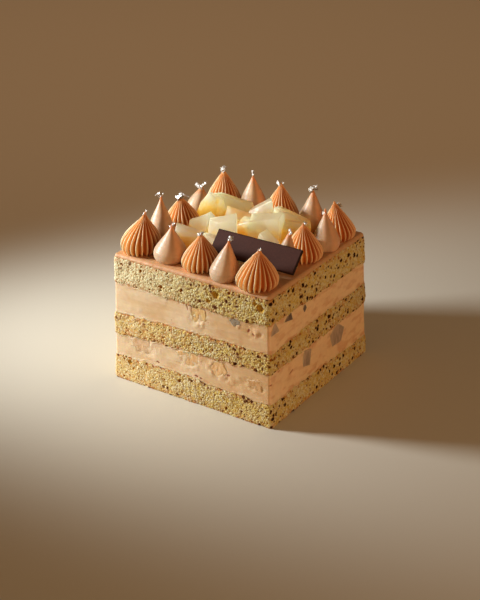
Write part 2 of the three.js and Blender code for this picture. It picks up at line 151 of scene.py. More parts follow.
# A mesh piece from points in millimetres, faces and a colour for each point, in place of the named nodes
def addPiece(name, points, faces, tone, material, nodes=()):
    mesh = bpy.data.meshes.new(name)
    corners = np.concatenate([face.ravel() for face in faces])
    sizes = np.concatenate([np.full(len(face), face.shape[1]) for face in faces])
    mesh.vertices.add(len(points))
    mesh.vertices.foreach_set("co", (points * 0.001).astype(np.float32).ravel())
    mesh.loops.add(len(corners))
    mesh.loops.foreach_set("vertex_index", corners.astype(np.int32))
    mesh.polygons.add(len(sizes))
    mesh.polygons.foreach_set("loop_start", (np.cumsum(sizes) - sizes).astype(np.int32))
    mesh.polygons.foreach_set("use_smooth", np.ones(len(sizes), bool))
    mesh.update(calc_edges=True)
    colour = mesh.color_attributes.new("tone", "FLOAT_COLOR", "POINT")
    tone = np.concatenate([np.clip(tone, 0, 1), np.ones((len(tone), 1))], 1)
    colour.data.foreach_set("color", tone.astype(np.float32).ravel())
    mesh.materials.append(material)
    piece = bpy.data.objects.new(name, mesh)
    bpy.context.scene.collection.objects.link(piece)
    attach(piece, "root")
    if nodes:
        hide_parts(*nodes)


# A tube of rings closed by two poles of one colour, in place of a node
def addTube(node, rings, poles, tone, poleTone, material):
    points = np.concatenate([rings.reshape(-1, 3), poles])
    tone = np.concatenate([tone.reshape(-1, 3), np.repeat(poleTone[None], 2, 0)])
    addPiece(f"fine_{node}", points, tubeFaces(*rings.shape[:2]), tone, material, [node])


# The sockets that a food's settings fill, and the value where they say nothing
foodSockets = {
    "Roughness": ("roughness", 0.5),
    "Metallic": ("metallic", 0),
    "Specular IOR Level": ("specular", 0.4),
    "Subsurface Weight": ("glow", 0),
    "Subsurface Radius": ("glowReach", (1, 0.5, 0.25)),
    "Subsurface Scale": ("glowScale", 0.002),
    "Coat Weight": ("coat", 0),
    "Coat Roughness": ("coatRoughness", 0.2),
}


# A food surface: its colour from the points, broken up by fine grain, with light let into it
def foodMaterial(name, settings):
    material = bpy.data.materials.new(name)
    material.use_nodes = True
    nodes, links = material.node_tree.nodes, material.node_tree.links
    shader = nodes["Principled BSDF"]
    for socket, (key, usual) in foodSockets.items():
        shader.inputs[socket].default_value = settings.get(key, usual)
    colour = nodes.new("ShaderNodeVertexColor")
    colour.layer_name = "tone"
    place = nodes.new("ShaderNodeTexCoord")
    grain = nodes.new("ShaderNodeTexNoise")
    grain.inputs["Scale"].default_value = settings["grainScale"]
    grain.inputs["Detail"].default_value = 3
    links.new(place.outputs["Object"], grain.inputs["Vector"])
    ramp = nodes.new("ShaderNodeValToRGB")
    for stop, share, grey in zip(ramp.color_ramp.elements, (0.3, 0.7), settings["grain"]):
        stop.position = share
        stop.color = (grey, grey, grey, 1)
    links.new(grain.outputs["Fac"], ramp.inputs["Fac"])
    mixer = nodes.new("ShaderNodeMix")
    mixer.data_type = "RGBA"
    mixer.blend_type = "MULTIPLY"
    mixer.inputs["Factor"].default_value = 1
    links.new(colour.outputs["Color"], mixer.inputs["A"])
    links.new(ramp.outputs["Color"], mixer.inputs["B"])
    links.new(mixer.outputs["Result"], shader.inputs["Base Color"])
    bump = nodes.new("ShaderNodeBump")
    bump.inputs["Strength"].default_value = settings["bump"]
    bump.inputs["Distance"].default_value = settings.get("bumpHeight", 0.0003)
    links.new(grain.outputs["Fac"], bump.inputs["Height"])
    links.new(bump.outputs["Normal"], shader.inputs["Normal"])
    if "through" in settings:
        behind = nodes.new("ShaderNodeBsdfTranslucent")
        links.new(mixer.outputs["Result"], behind.inputs["Color"])
        both = nodes.new("ShaderNodeMixShader")
        both.inputs["Fac"].default_value = settings["through"]
        links.new(shader.outputs["BSDF"], both.inputs[1])
        links.new(behind.outputs["BSDF"], both.inputs[2])
        links.new(both.outputs["Shader"], nodes["Material Output"].inputs["Surface"])
    return material


# The cut block: sponge and cream layers between wavy seams
block = {
    "width": 120.0,
    "depth": 117.0,
    "top": 86.0,
    "taper": 2.6,
    "cornerRadius": 2.5,
    "rippleLength": 17.0,
    # Shift of the ripple from seam to seam along x, and along y as a share of it
    "rippleShift": 2.1,
    "rippleShiftDeep": 1.7,
    # Height of the loose crumbs at a seam as a share of its raggedness
    "crumbHeight": 0.45,
    "noises": {"ragged": (4.5, 70, 4), "crumbs": (1.8, 170, 2)},
}

# Seam heights at the corners (-X -Y), (+X -Y), (+X +Y) and (-X +Y), bow across the width, ripple, and
# raggedness where crumb meets cream
seams = [
    {"corners": (0, 0, 0, 0), "bow": 0, "ripple": 0, "ragged": 0},
    {"corners": (17.5, 16, 13.4, 15), "bow": 0.3, "ripple": 0.7, "ragged": 1.5},
    {"corners": (30.2, 35.3, 35.6, 33), "bow": 1.7, "ripple": 0.6, "ragged": 1.5},
    {"corners": (46.9, 49.3, 51.5, 49), "bow": 0.6, "ripple": 0.6, "ragged": 1.5},
    {"corners": (67.4, 67, 66, 66.5), "bow": -1.6, "ripple": 0.6, "ragged": 1.5},
    {"corners": (84, 83.6, 83.6, 83.8), "bow": 0, "ripple": 0.3, "ragged": 0.7},
    {"corners": (86, 86, 86, 86), "bow": 0, "ripple": 0, "ragged": 0},
]


# Evenly spaced points of the block's rounded outline with their outward directions: straight sides
# joined by quarter circles, anticlockwise from above
def outline(count):
    radius = block["cornerRadius"]
    halfX = block["width"] / 2 - radius
    halfY = block["depth"] / 2 - radius
    steps = 25
    turn = np.radians(np.concatenate([np.linspace(start, start + 90, steps) for start in (-90, 0, 90, 180)]))
    out = np.stack([np.cos(turn), np.sin(turn)], 1)
    middle = np.repeat([(halfX, -halfY), (halfX, halfY), (-halfX, halfY), (-halfX, -halfY)], steps, axis=0)
    at = middle + radius * out
    at = np.concatenate([at, at[:1]])
    out = np.concatenate([out, out[:1]])
    run = np.concatenate([[0], np.cumsum(np.linalg.norm(np.diff(at, axis=0), axis=1))])
    place = np.linspace(0, run[-1], count, endpoint=False)
    at = np.stack([np.interp(place, run, at[:, k]) for k in (0, 1)], 1)
    out = np.stack([np.interp(place, run, out[:, k]) for k in (0, 1)], 1)
    return at, out / np.linalg.norm(out, axis=1)[:, None]


# Height of a seam at a place: a blend of its corner heights, a bow, a ripple and a ragged edge
def seamHeight(number, x, y):
    seam = seams[number]
    u = x / block["width"] + 0.5
    v = y / block["depth"] + 0.5
    frontLeft, frontRight, backRight, backLeft = seam["corners"]
    front = frontLeft + (frontRight - frontLeft) * u
    back = backLeft + (backRight - backLeft) * u
    bow = seam["bow"] * (1 - (2 * u - 1) ** 2)
    phase = block["rippleShift"] * number
    phaseDeep = block["rippleShiftDeep"] * phase
    wave = np.sin(x / block["rippleLength"] + phase) + np.sin(y / block["rippleLength"] - phaseDeep)
    spots = np.stack([x, y, np.full_like(x, 40.0 * number)], -1)  # noise of its own for each seam
    ragged = seam["ragged"] * noise(spots, block["noises"]["ragged"], number)
    crumbs = noise(spots, block["noises"]["crumbs"], number)
    ragged = ragged + block["crumbHeight"] * seam["ragged"] * crumbs
    return front + (back - front) * v + bow + 0.5 * seam["ripple"] * wave + ragged


# The wall of one layer as a grid of rows from the lower to the upper seam: points before any relief,
# outward directions, and distance from the nearer seam
def layerWall(lower, layer):
    rows, columns, recess = layer["rows"], layer["columns"], layer["recess"]
    at, out = outline(columns)
    low = seamHeight(lower, at[:, 0], at[:, 1])
    high = seamHeight(lower + 1, at[:, 0], at[:, 1])
    z = low + (high - low) * np.linspace(0, 1, rows)[:, None]
    fromSeam = np.minimum(z - low, high - z)
    inward = recess["depth"] * (1 - ease(0, recess["reach"], fromSeam))
    inward = recess["face"] + inward
    drawnIn = block["taper"] * z / block["top"]
    points = np.empty((rows, columns, 3))
    points[..., 0] = at[:, 0] * (1 - 2 * drawnIn / block["width"]) - out[:, 0] * inward
    points[..., 1] = at[:, 1] * (1 - 2 * drawnIn / block["depth"]) - out[:, 1] * inward
    points[..., 2] = z
    outward = np.zeros((rows, columns, 3))
    outward[..., :2] = out
    return points, outward, fromSeam


# How much of a wall looks to the shaded right and back, from 0 to 1
def lookingAway(outward):
    return ease(0.3, 0.9, np.maximum(outward[..., 0], outward[..., 1]))


# Bottom and top poles of a layer, at the middle of its seams
def layerPoles(lower):
    middle = np.zeros(1)
    return np.array([[0, 0, seamHeight(number, middle, middle)[0]] for number in (lower, lower + 1)])


sponge = {
    "rows": 58,
    "columns": 1640,
    "recess": {"face": 0.0, "depth": 0.3, "reach": 1.4},
    "grains": [
        {"cell": 2.3, "height": 0.25, "crevice": 0.1, "fleck": 0.2, "seed": 101},
        {"cell": 1.15, "height": 0.55, "crevice": 0.66, "fleck": 0.5, "seed": 117},
        {"cell": 0.8, "height": 0.15, "crevice": 0.2, "fleck": 0.3, "seed": 131},
    ],
    "domeCurve": 1.5,
    "domeUneven": 0.3,
    "drift": 0.3,
    "pores": [
        {"cell": 1.5, "keep": 0.34, "radii": (0.3, 0.7), "seed": 211},
        {"cell": 3.4, "keep": 0.3, "radii": (0.5, 1.3), "seed": 307},
    ],
    "specks": [
        {"cell": 2.8, "keep": 0.85, "radii": (0.5, 1.7), "seed": 401},
        {"cell": 1.7, "keep": 0.45, "radii": (0.3, 0.6), "seed": 503},
    ],
    # Larger holes on the front face: place along it, height and radius
    "holes": [(19.7, 77.9, 2.5), (14.5, 72.5, 1.6), (51.3, 77.3, 2.6), (47.5, 79.5, 1.5), (-46.6, 14, 1.7)],
    "holeDepth": 0.7,
    "holeUneven": 0.3,
    "frontFrom": -50,
    "deepest": 2.4,
    "grit": 0.14,
    "swell": 0.5,
    "noises": {
        "hole": (1.8, 19, 2), "drift": (1.6, 71, 2), "grit": (0.9, 31, 2), "swell": (6, 43, 2),
        "warmth": (26, 61, 2), "toast": (1.5, 67, 2), "patches": (3.5, 69, 3), "dots": (7, 77, 2),
    },
    # Stretches of the front along x, and of the sides along y, over which a change eases in
    "litSpan": (-50, 20),
    "leftSpan": (-60, 30),
    "rightSpan": (-10, 60),
    "farSpan": (20, 58),
    "litFlatter": 0.4,
    "awayCreviceLess": 0.55,
    "pale": tint(254, 253, 216),
    "golden": tint(240, 214, 118),
    "warmth": 0.4,
    # Painted shade: the front turns more golden towards its right end, where the light falls off
    "goldenRightShade": 0.25,
    # Painted shade in pits and crevices over the crumb's own darker colour, with a paler copy where lit and a
    # lighter tone inside the larger holes
    "pit": tint(146, 78, 2),
    "pitShare": 0.95,
    "pitMost": 0.97,
    "litPit": tint(198, 130, 18),
    "hole": tint(206, 164, 62),
    # Painted shade: a darker tint for the sides turned from the light
    "awayShadeTint": np.array((0.82, 0.81, 0.74)),
    "toast": tint(190, 104, 44),
    "toasted": {"share": 0.85, "awayLess": 0.15, "reach": 2.2, "awayReach": 1.2},
    # Specks, with a paler copy painted on the sides facing the light
    "speck": tint(34, 17, 8),
    "litSpeck": tint(82, 44, 18),
    "halo": tint(150, 84, 34),
    "speckShare": 0.97,
    "haloShare": 0.85,
    "darkTo": (0.8, 0.6, 0),
    "dots": {"dark": 0.45, "seam": 0.5, "seamReach": 1.5, "right": 0.15},
    # For each sheet: its lower seam; at the front's lit left end how much paler it is painted, as painted
    # light, how much more painted crevice shade it gets and how many specks are left out; painted shade at
    # the far right, toasted patches, and tint of the front
    "sheets": {
        "sponge_bottom": (0, 0.35, 0.15, 0.12, 0.08, 0, (0.98, 1.03, 1.0)),
        "sponge_middle": (2, 0.3, 0.15, 0.08, 0.16, 0.35, (0.98, 1.05, 1.02)),
        "sponge_top": (4, 1.0, 0, 0.3, 0, 0, (0.94, 1.05, 1.04)),
    },
    "material": {
        "roughness": 0.9, "specular": 0.12, "glow": 0.06, "glowReach": (1, 0.75, 0.35), "glowScale": 0.001,
        "grainScale": 1600, "grain": (0.84, 1.08), "bump": 0.4,
    },
}
spongeMaterial = foodMaterial("sponge crumb", sponge["material"])


# Depth of the cut bubbles and of the larger holes, which are uneven bowls, and where those holes are
def crumbPits(points, outward):
    depth, hollow = np.zeros((2, *points.shape[:2]))
    for pore in sponge["pores"]:
        depth = np.maximum(depth, cutBalls(points, -outward, pore)[0])
    edge = 1 + sponge["holeUneven"] * noise(points, sponge["noises"]["hole"])
    for along, height, radius in sponge["holes"]:
        aside = (points[..., 0] - along) ** 2 + (points[..., 2] - height) ** 2
        aside = np.where(points[..., 1] < sponge["frontFrom"], aside * edge, 1e6)
        depth = np.maximum(depth, sponge["holeDepth"] * np.sqrt(np.maximum(radius**2 - aside, 0)))
        hollow = np.maximum(hollow, ease(0, 0.3, 1 - aside / radius**2))
    return np.minimum(depth, sponge["deepest"]), hollow


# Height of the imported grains, each a dome that falls off with the distance from its middle, the crevices
# where two are equally near, and the fleck of colour that each grain has of its own
def crumbGrains(points):
    height, crevice, fleck = np.zeros((3, *points.shape[:2]))
    drift = [noise(points, sponge["noises"]["drift"], k) for k in range(3)]
    warped = points + sponge["drift"] * np.stack(drift, -1)
    for grain in sponge["grains"]:
        nearest, second, own = packedGrains(warped, grain["cell"], grain["seed"])
        dome = 0.5 - nearest ** sponge["domeCurve"]
        height += grain["height"] * (dome + sponge["domeUneven"] * (own - 0.5))
        crevice = np.maximum(crevice, grain["crevice"] * (1 - ease(0.02, 0.4, second - nearest)))
        fleck += grain["fleck"] * own
    return height, crevice, fleck


# A sponge layer: its wall made of packed grains of three sizes, opened by cut bubbles of two sizes and a few
# larger holes; painted paler where it is lit, with painted shade in its crevices and pits and on the sides
# turned away, toasted by the seams, dotted with specks
def addSponge(name, lower, paleLeft, deeperLeft, fewerLeft, shadeFar, patches, frontTint):
    points, outward, fromSeam = layerWall(lower, sponge)
    x, y = points[..., 0], points[..., 1]
    onFront = ease(0.3, 0.7, np.maximum(-outward[..., 1], -outward[..., 0]))
    lit = onFront * (1 - ease(*sponge["litSpan"], x))
    toLeft = onFront * (1 - ease(*sponge["leftSpan"], x))
    toRight = onFront * ease(*sponge["rightSpan"], x)
    away = lookingAway(outward)
    depth, hollow = crumbPits(points, outward)
    grains, crevice, fleck = crumbGrains(points)
    grains = grains * (1 - sponge["litFlatter"] * lit)
    # Painted crevice shade: less on the sides turned from the light, more at the lit left end
    crevice = crevice * (1 - sponge["awayCreviceLess"] * away + deeperLeft * lit)
    noises = sponge["noises"]
    grit = sponge["grit"] * noise(points, noises["grit"], lower)
    swell = sponge["swell"] * noise(points, noises["swell"], lower)
    wall = points + outward * (grains + grit + swell - depth)[..., None]

    tone = blend(sponge["golden"], sponge["pale"], ease(0.25, 0.75, fleck))
    warmth = np.clip(0.5 + noise(points, noises["warmth"]), 0, 1)
    tone = blend(tone, sponge["golden"], sponge["warmth"] * warmth)
    # Painted light at the front's lit left end and painted shade towards its right end
    tone = blend(tone, sponge["pale"], paleLeft * toLeft)
    tone = blend(tone, sponge["golden"], sponge["goldenRightShade"] * toRight)
    tone = tone * blend(np.ones(3), np.array(frontTint), onFront)
    # Painted shade on the sides turned from the light, darker still towards their far end
    tone = tone * blend(np.ones(3), sponge["awayShadeTint"], away)
    tone = tone * (1 - shadeFar * away * ease(*sponge["farSpan"], y))[..., None]
    # Painted shade in pits and crevices, paler where the light falls
    pitTone = blend(sponge["pit"], sponge["litPit"], lit)
    pitTone = blend(pitTone, sponge["hole"], hollow)
    pitted = crevice + sponge["pitShare"] * ease(0.05, 0.7, depth)
    tone = blend(tone, pitTone, np.clip(pitted, 0, sponge["pitMost"]))

    toast, dots = sponge["toasted"], sponge["dots"]
    reach = toast["reach"] + toast["awayReach"] * away
    toasted = np.exp(-fromSeam / reach) * ease(-0.15, 0.35, noise(points, noises["toast"]))
    toasted = toasted + patches * ease(0.1, 0.5, noise(points, noises["patches"], lower))
    toasted = np.clip(toasted, 0, 1)
    tone = blend(tone, sponge["toast"], (toast["share"] - toast["awayLess"] * away) * toasted)

    dark = ease(-0.3, 0.3, outward @ sponge["darkTo"])
    dotted = noise(points, noises["dots"]) + dots["dark"] * dark
    dotted = dotted + dots["seam"] * np.exp(-fromSeam / dots["seamReach"])
    dotted = ease(0.2, 0.45, dotted - fewerLeft * lit + dots["right"] * toRight)
    # Painted light and shade: specks paler on the sides facing the light
    speckTone = blend(sponge["litSpeck"], sponge["speck"], dark)
    for speck in sponge["specks"]:
        inside = cutBalls(points, -outward, speck)[1]
        tone = blend(tone, sponge["halo"], sponge["haloShare"] * dotted * ease(0, 0.25, inside))
        tone = blend(tone, speckTone, sponge["speckShare"] * dotted * ease(0.2, 0.6, inside))
    addTube(name, wall, layerPoles(lower), tone, sponge["golden"], spongeMaterial)


for nodeName, sheet in sponge["sheets"].items():
    addSponge(nodeName, *sheet)
print("sponges built")


cream = {
    "rows": 46,
    "columns": 1300,
    "recess": {"face": 0.6, "depth": -0.3, "reach": 1.4},
    "smear": 0.09,
    "lumps": 0.45,
    "lip": 0.8,
    "toneBySmear": 0.6,
    "toneByFolds": 0.4,
    "noises": {
        "smear": ((16, 16, 2.2), 71, 3), "lumps": (13, 83, 3), "folds": (4, 89, 2),
        "smudge": ((6, 6, 2.5), 95, 3),
    },
    "pits": {"cell": 6.0, "keep": 0.1, "radii": (0.3, 0.8), "seed": 601},
    "crumbs": {"cell": 1.7, "keep": 0.4, "radii": (0.3, 0.8), "seed": 631},
    "dieSink": 0.3,
    "pitDepth": 0.3,
    "sideDepth": 8,
    # Where the patches ease out: sunk behind a smeared and a clean cut die, lip of a die, tear and slit
    "spans": {
        "smeared": (0.7, 1.05), "cut": (0.9, 1.3), "lip": (1.0, 2.0), "tear": (0.4, 1.0),
        "slit": (0.3, 1.0),
    },
    "pale": tint(234, 211, 173),
    "deep": tint(221, 187, 140),
    "pit": tint(150, 66, 30),
    "crumb": tint(196, 142, 82),
    # Painted shade towards the front's right end, where the light falls off, and painted warm light on the
    # sides turned from the lamps
    "warmShade": tint(215, 173, 119),
    "side": tint(248, 211, 166),
    "smudge": tint(208, 140, 90),
    "nodes": {"cream_lower": 1, "cream_upper": 3},
    # Painted light: how much paler the front's lit left end is, by each layer's lower seam
    "paleLeft": {1: 0.8, 3: 0.1},
    "leftSpan": (-60, -30),
    "warmSpan": (-15, 60),
    # Shares of the colours at most: painted warm shade to the front's right, painted warm light on the sides,
    # pits, smudges by seams and away, crumbs
    "shares": {"warmShade": 0.7, "side": 0.8, "pit": 0.9, "seam": 0.45, "away": 0.35, "crumb": 0.7},
    "seamReach": 2.5,
    "crumbReach": 0.9,
    # Torn places: side, place along it, height, half width and half height
    "tears": [
        ("front", 46, 60, 9, 6), ("front", 33, 24, 12, 6), ("back", 5, 61, 9, 6), ("left", -8, 62, 8, 5),
    ],
    # Slits: side, place along it, height, half length, half width and turn
    "slits": [
        ("front", 5.0, 19.3, 1.9, 0.8, -10), ("front", 8.4, 18.6, 1.5, 0.7, -5),
        ("front", 28.6, 26.6, 1.8, 1.1, 15), ("front", -24.5, 20.2, 1.8, 0.8, -12),
        ("front", 42.8, 60.5, 2.0, 1.0, 70), ("front", 46.3, 58.9, 1.6, 1.0, -40),
        ("front", -1.4, 64.5, 3.2, 0.6, -70), ("right", -55.8, 28.4, 1.6, 0.7, 10),
        ("right", -33.6, 27.3, 3.2, 0.7, 22), ("right", -47.0, 34.0, 1.2, 0.5, 30),
        ("back", -20.0, 62.0, 1.8, 0.6, 20), ("back", 12.0, 24.0, 1.6, 0.6, -15),
        ("left", 2.0, 26.0, 1.7, 0.6, 10), ("left", -30.0, 60.0, 1.5, 0.6, -30),
    ],
    "material": {
        "roughness": 0.55, "specular": 0.35, "glow": 0.35, "glowReach": (1, 0.5, 0.22), "glowScale": 0.003,
        "grainScale": 420, "grain": (0.95, 1.03), "bump": 0.15,
    },
}

# Diced pear at the cut sides: layer, side, place along it, height, size, corners, turn and tint
dice = {
    "rings": (0.95, 0.88, 0.8, 0.72, 0.64, 0.56, 0.48, 0.4, 0.32, 0.24, 0.16, 0.08),
    "sides": 60,
    "proud": {"front": 0.02, "right": 0.2, "back": 0.15, "left": 0.05},
    "round": 0.35,
    "depth": 9.0,
    "taper": 0.72,
    "brighter": 1.08,
    "creamyEdge": 0.3,
    "smeared": ("front", "left"),
    "noises": {
        "outline": (3.5, 87, 2), "streaks": ((2.0, 2.0, 5.0), 91, 3), "mottle": ((1.8, 1.8, 5.0), 97, 3),
    },
    "uneven": {"front": 0.16, "right": 0.04, "back": 0.08, "left": 0.12},
    "relief": {"front": 0.28, "right": 0.12, "back": 0.2, "left": 0.25},
    "fibre": {
        "front": (0.94, 0.85, 0.7), "right": (0.66, 0.66, 0.66), "back": (0.7, 0.66, 0.6),
        "left": (0.94, 0.85, 0.7),
    },
    "tints": {
        "yellow": tint(232, 196, 138), "slate": tint(152, 138, 118), "pink": tint(218, 186, 148),
        "blush": tint(234, 194, 142), "amber": tint(214, 170, 118), "stone": tint(186, 162, 142),
        "dark": tint(118, 100, 90),
    },
    "rows": [
        ("cream_upper", "front", 6.4, 61.8, (10, 14), 5, 20, "yellow"),
        ("cream_upper", "front", 33.4, 64, (6.4, 5.2), 5, 0, "slate"),
        ("cream_lower", "front", -36.8, 28.6, (15, 9.5), 5, -15, "pink"),
        ("cream_lower", "front", -0.3, 29, (14, 11), 6, 10, "blush"),
        ("cream_lower", "front", 20.6, 28.6, (10.8, 9.5), 5, 30, "blush"),
        ("cream_lower", "front", 47.6, 25.4, (9.4, 7), 4, 8, "amber"),
        ("cream_upper", "right", -50, 62.6, (7.6, 7.3), 3, 30, "stone"),
        ("cream_upper", "right", -34.4, 63.9, (8, 5), 3, 12, "dark"),
        ("cream_upper", "right", -17, 63, (3, 4), 4, 40, "dark"),
        ("cream_lower", "right", 20.6, 28.4, (13.5, 11.4), 5, 50, "stone"),
        ("cream_lower", "right", -15.6, 28.4, (8.6, 11), 4, -12, "stone"),
        ("cream_upper", "back", 24, 60.5, (11, 9), 5, 35, "stone"),
        ("cream_upper", "back", -31, 59, (9, 11), 4, 15, "pink"),
        ("cream_lower", "back", -8, 26.5, (13, 10), 5, 0, "pink"),
        ("cream_lower", "back", 38, 25.5, (10, 9), 4, 25, "stone"),
        ("cream_upper", "left", 14, 60, (12, 9), 5, 10, "blush"),
        ("cream_upper", "left", -33, 58.5, (8, 8), 4, 30, "pink"),
        ("cream_lower", "left", 31, 24.5, (13, 10), 5, -20, "yellow"),
        ("cream_lower", "left", -12, 25, (9, 8), 4, 15, "blush"),
    ],
    "material": {
        "roughness": 0.42, "specular": 0.36, "glow": 0.5, "glowReach": (1, 0.7, 0.4), "glowScale": 0.004,
        "coat": 0.05, "grainScale": 700, "grain": (0.93, 1.04), "bump": 0.15,
    },
}

# Outward and rightward directions of each side, and how far it stands from the middle
sides = {
    "front": {"out": (0, -1), "right": (1, 0), "reach": 58.5},
    "right": {"out": (1, 0), "right": (0, 1), "reach": 60.0},
    "back": {"out": (0, 1), "right": (1, 0), "reach": 58.5},
    "left": {"out": (-1, 0), "right": (0, 1), "reach": 60.0},
}
creamMaterial = foodMaterial("pear cream", cream["material"])
dieMaterial = foodMaterial("pear dice", dice["material"])


# Outline of a die as seen on its side: a polygon with its points spread evenly along its edges, and
# each moved in or out by noise
def dieOutline(size, corners, turn, uneven, number):
    angle = 2 * np.pi * (np.arange(corners + 1) + 0.5) / corners + np.radians(turn)
    corner = np.stack([np.cos(angle) * size[0], np.sin(angle) * size[1]], 1) / np.sqrt(2)
    place = np.arange(dice["sides"]) * corners / dice["sides"]
    sharp = np.stack([np.interp(place, np.arange(corners + 1), corner[:, k]) for k in (0, 1)], 1)
    spots = np.concatenate([sharp, np.full((len(sharp), 1), 20.0 * number)], 1)
    return sharp * (1 + uneven * noise(spots, dice["noises"]["outline"])[:, None])


# An oval patch on one side of a wall: 1 at its middle, easing to 0 over a span of distances counted in its
# half width and half height
def ovalPatch(points, span, side, along, height, width, tall, turn=0):
    face, angle = sides[side], np.radians(turn)
    onSide = points[..., :2] @ np.array(face["out"]) > face["reach"] - cream["sideDepth"]
    across = points[..., :2] @ np.array(face["right"]) - along
    rise = points[..., 2] - height
    turnedAcross = across * np.cos(angle) + rise * np.sin(angle)
    turnedRise = rise * np.cos(angle) - across * np.sin(angle)
    return np.where(onSide, 1 - ease(*span, np.hypot(turnedAcross / width, turnedRise / tall)), 0)


# Where a cream wall is sunk behind its dice, lifted in folds beside them and at torn places, and slit
def creamMarks(name, points):
    sunk, lip, slit = np.zeros((3, *points.shape[:2]))
    spans = cream["spans"]
    for home, side, along, height, size in (row[:5] for row in dice["rows"]):
        if home != name:
            continue
        oval = (side, along, height, 0.5 * size[0], 0.5 * size[1])
        smeared = side in dice["smeared"]
        sunk = np.maximum(sunk, ovalPatch(points, spans["smeared" if smeared else "cut"], *oval))
        if smeared:
            lip = np.maximum(lip, ovalPatch(points, spans["lip"], *oval))
    for tear in cream["tears"]:
        lip = np.maximum(lip, ovalPatch(points, spans["tear"], *tear))
    for row in cream["slits"]:
        slit = np.maximum(slit, ovalPatch(points, spans["slit"], *row))
    return sunk, lip, slit


# A cream layer: a smooth cut face drawn out in sideways smears, with soft lumps, folds by the dice and at
# torn places, slits, a few burst bubbles and crumbs by the seams, sunk a little behind each die
def addCream(name, lower):
    points, outward, fromSeam = layerWall(lower, cream)
    smear, lumps, folds, smudge = (noise(points, kind, lower) for kind in cream["noises"].values())
    sunk, lip, slit = creamMarks(name, points)
    depth = np.maximum(cutBalls(points, -outward, cream["pits"])[0], slit)
    relief = (cream["smear"] * smear + cream["lumps"] * lumps) * (1 - sunk)
    relief = relief + cream["lip"] * lip * folds
    wall = points + outward * (relief - cream["pitDepth"] * depth - cream["dieSink"] * sunk)[..., None]

    raised = cream["toneBySmear"] * smear + lumps + cream["toneByFolds"] * lip * folds
    tone = blend(cream["deep"], cream["pale"], ease(-0.6, 0.6, raised))
    onFront = ease(0.3, 0.9, -outward[..., 1])
    away = lookingAway(outward)
    x, shares = points[..., 0], cream["shares"]
    # Painted light and shade: warm shade towards the front's right end, paler at its lit left end, and warm
    # light on the sides turned away
    tone = blend(tone, cream["warmShade"], shares["warmShade"] * onFront * ease(*cream["warmSpan"], x))
    paleLeft = cream["paleLeft"][lower] * onFront * (1 - ease(*cream["leftSpan"], x))
    tone = blend(tone, cream["pale"], paleLeft)
    tone = blend(tone, cream["side"], shares["side"] * away)
    tone = blend(tone, cream["pit"], shares["pit"] * ease(0.1, 0.6, depth))
    smudged = ease(-0.1, 0.4, smudge)
    bySeam = shares["seam"] * np.exp(-fromSeam / cream["seamReach"])
    tone = blend(tone, cream["smudge"], smudged * (bySeam + shares["away"] * away))
    inside = cutBalls(points, -outward, cream["crumbs"])[1]
    bySeam = np.exp(-fromSeam / cream["crumbReach"])
    tone = blend(tone, cream["crumb"], shares["crumb"] * ease(0, 0.4, inside) * bySeam)
    addTube(name, wall, layerPoles(lower), tone, cream["deep"], creamMaterial)


# A pear die: its outline carried from a smaller inner end to a rounded edge just proud of the cream, and
# closed by shrinking rings over its face
def addDie(number, side, along, height, size, corners, turn, shade):
    face = sides[side]
    outward = np.array([*face["out"], 0.0])
    rightward = np.array([*face["right"], 0.0])
    flat = dieOutline(size, corners, turn, dice["uneven"][side], number)
    surface = face["reach"] - cream["recess"]["face"] - block["taper"] * height / block["top"]
    surface = surface + dice["proud"][side]
    share = np.array([dice["taper"], 1.0, *dice["rings"]])[:, None]
    reach = np.full(len(share), surface)
    reach[:2] -= dice["depth"], dice["round"]
    rings = (along + flat[:, 0] * share)[..., None] * rightward + reach[:, None, None] * outward
    rings[..., 2] = height + flat[:, 1] * share
    streaks = noise(rings[2:], dice["noises"]["streaks"], number)
    rings[2:] += outward * dice["relief"][side] * streaks[..., None]
    faces = tubeFaces(len(rings), dice["sides"])
    if np.cross(rightward, [0.0, 0.0, 1.0]) @ outward < 0:
        faces = [grid[:, ::-1] for grid in faces]
    points = np.concatenate([rings.reshape(-1, 3), [rings[0].mean(0), rings[-1].mean(0)]])
    body = dice["tints"][shade]
    mottle = noise(points, dice["noises"]["mottle"])
    tone = blend(dice["brighter"] * body, body * dice["fibre"][side], ease(-0.6, 0.7, mottle))
    edge = np.zeros(len(points))
    edge[dice["sides"] : 3 * dice["sides"]] = 1
    tone = blend(tone, cream["pale"], dice["creamyEdge"] * edge)
    node = f"cream_pear_{number}"
    addPiece(f"fine_{node}", points, faces, tone, dieMaterial, [node])


for nodeName, lowerSeam in cream["nodes"].items():
    addCream(nodeName, lowerSeam)
for number, row in enumerate(dice["rows"], 1):
    addDie(number, *row[1:])
print("creams and dice built")


icing = {
    "columns": 900,
    "lipRows": 12,
    "rings": 26,
    "lipInset": 1.9,
    "lipRecess": 0.25,
    "lowerSeam": 5,
    "under": 83.6,
    "innerShare": 0.03,
    "stroke": 0.16,
    "waves": 0.3,
    "noises": {"stroke": ((22, 2.2, 40), 127, 3), "waves": (9, 113, 2)},
    "pale": tint(216, 170, 125),
    "deep": tint(207, 158, 111),
    "material": {
        "roughness": 0.48, "specular": 0.4, "glow": 0.3, "glowReach": (1, 0.45, 0.2), "glowScale": 0.0025,
        "grainScale": 380, "grain": (0.96, 1.03), "bump": 0.12,
    },
}
icingMaterial = foodMaterial("icing", icing["material"])


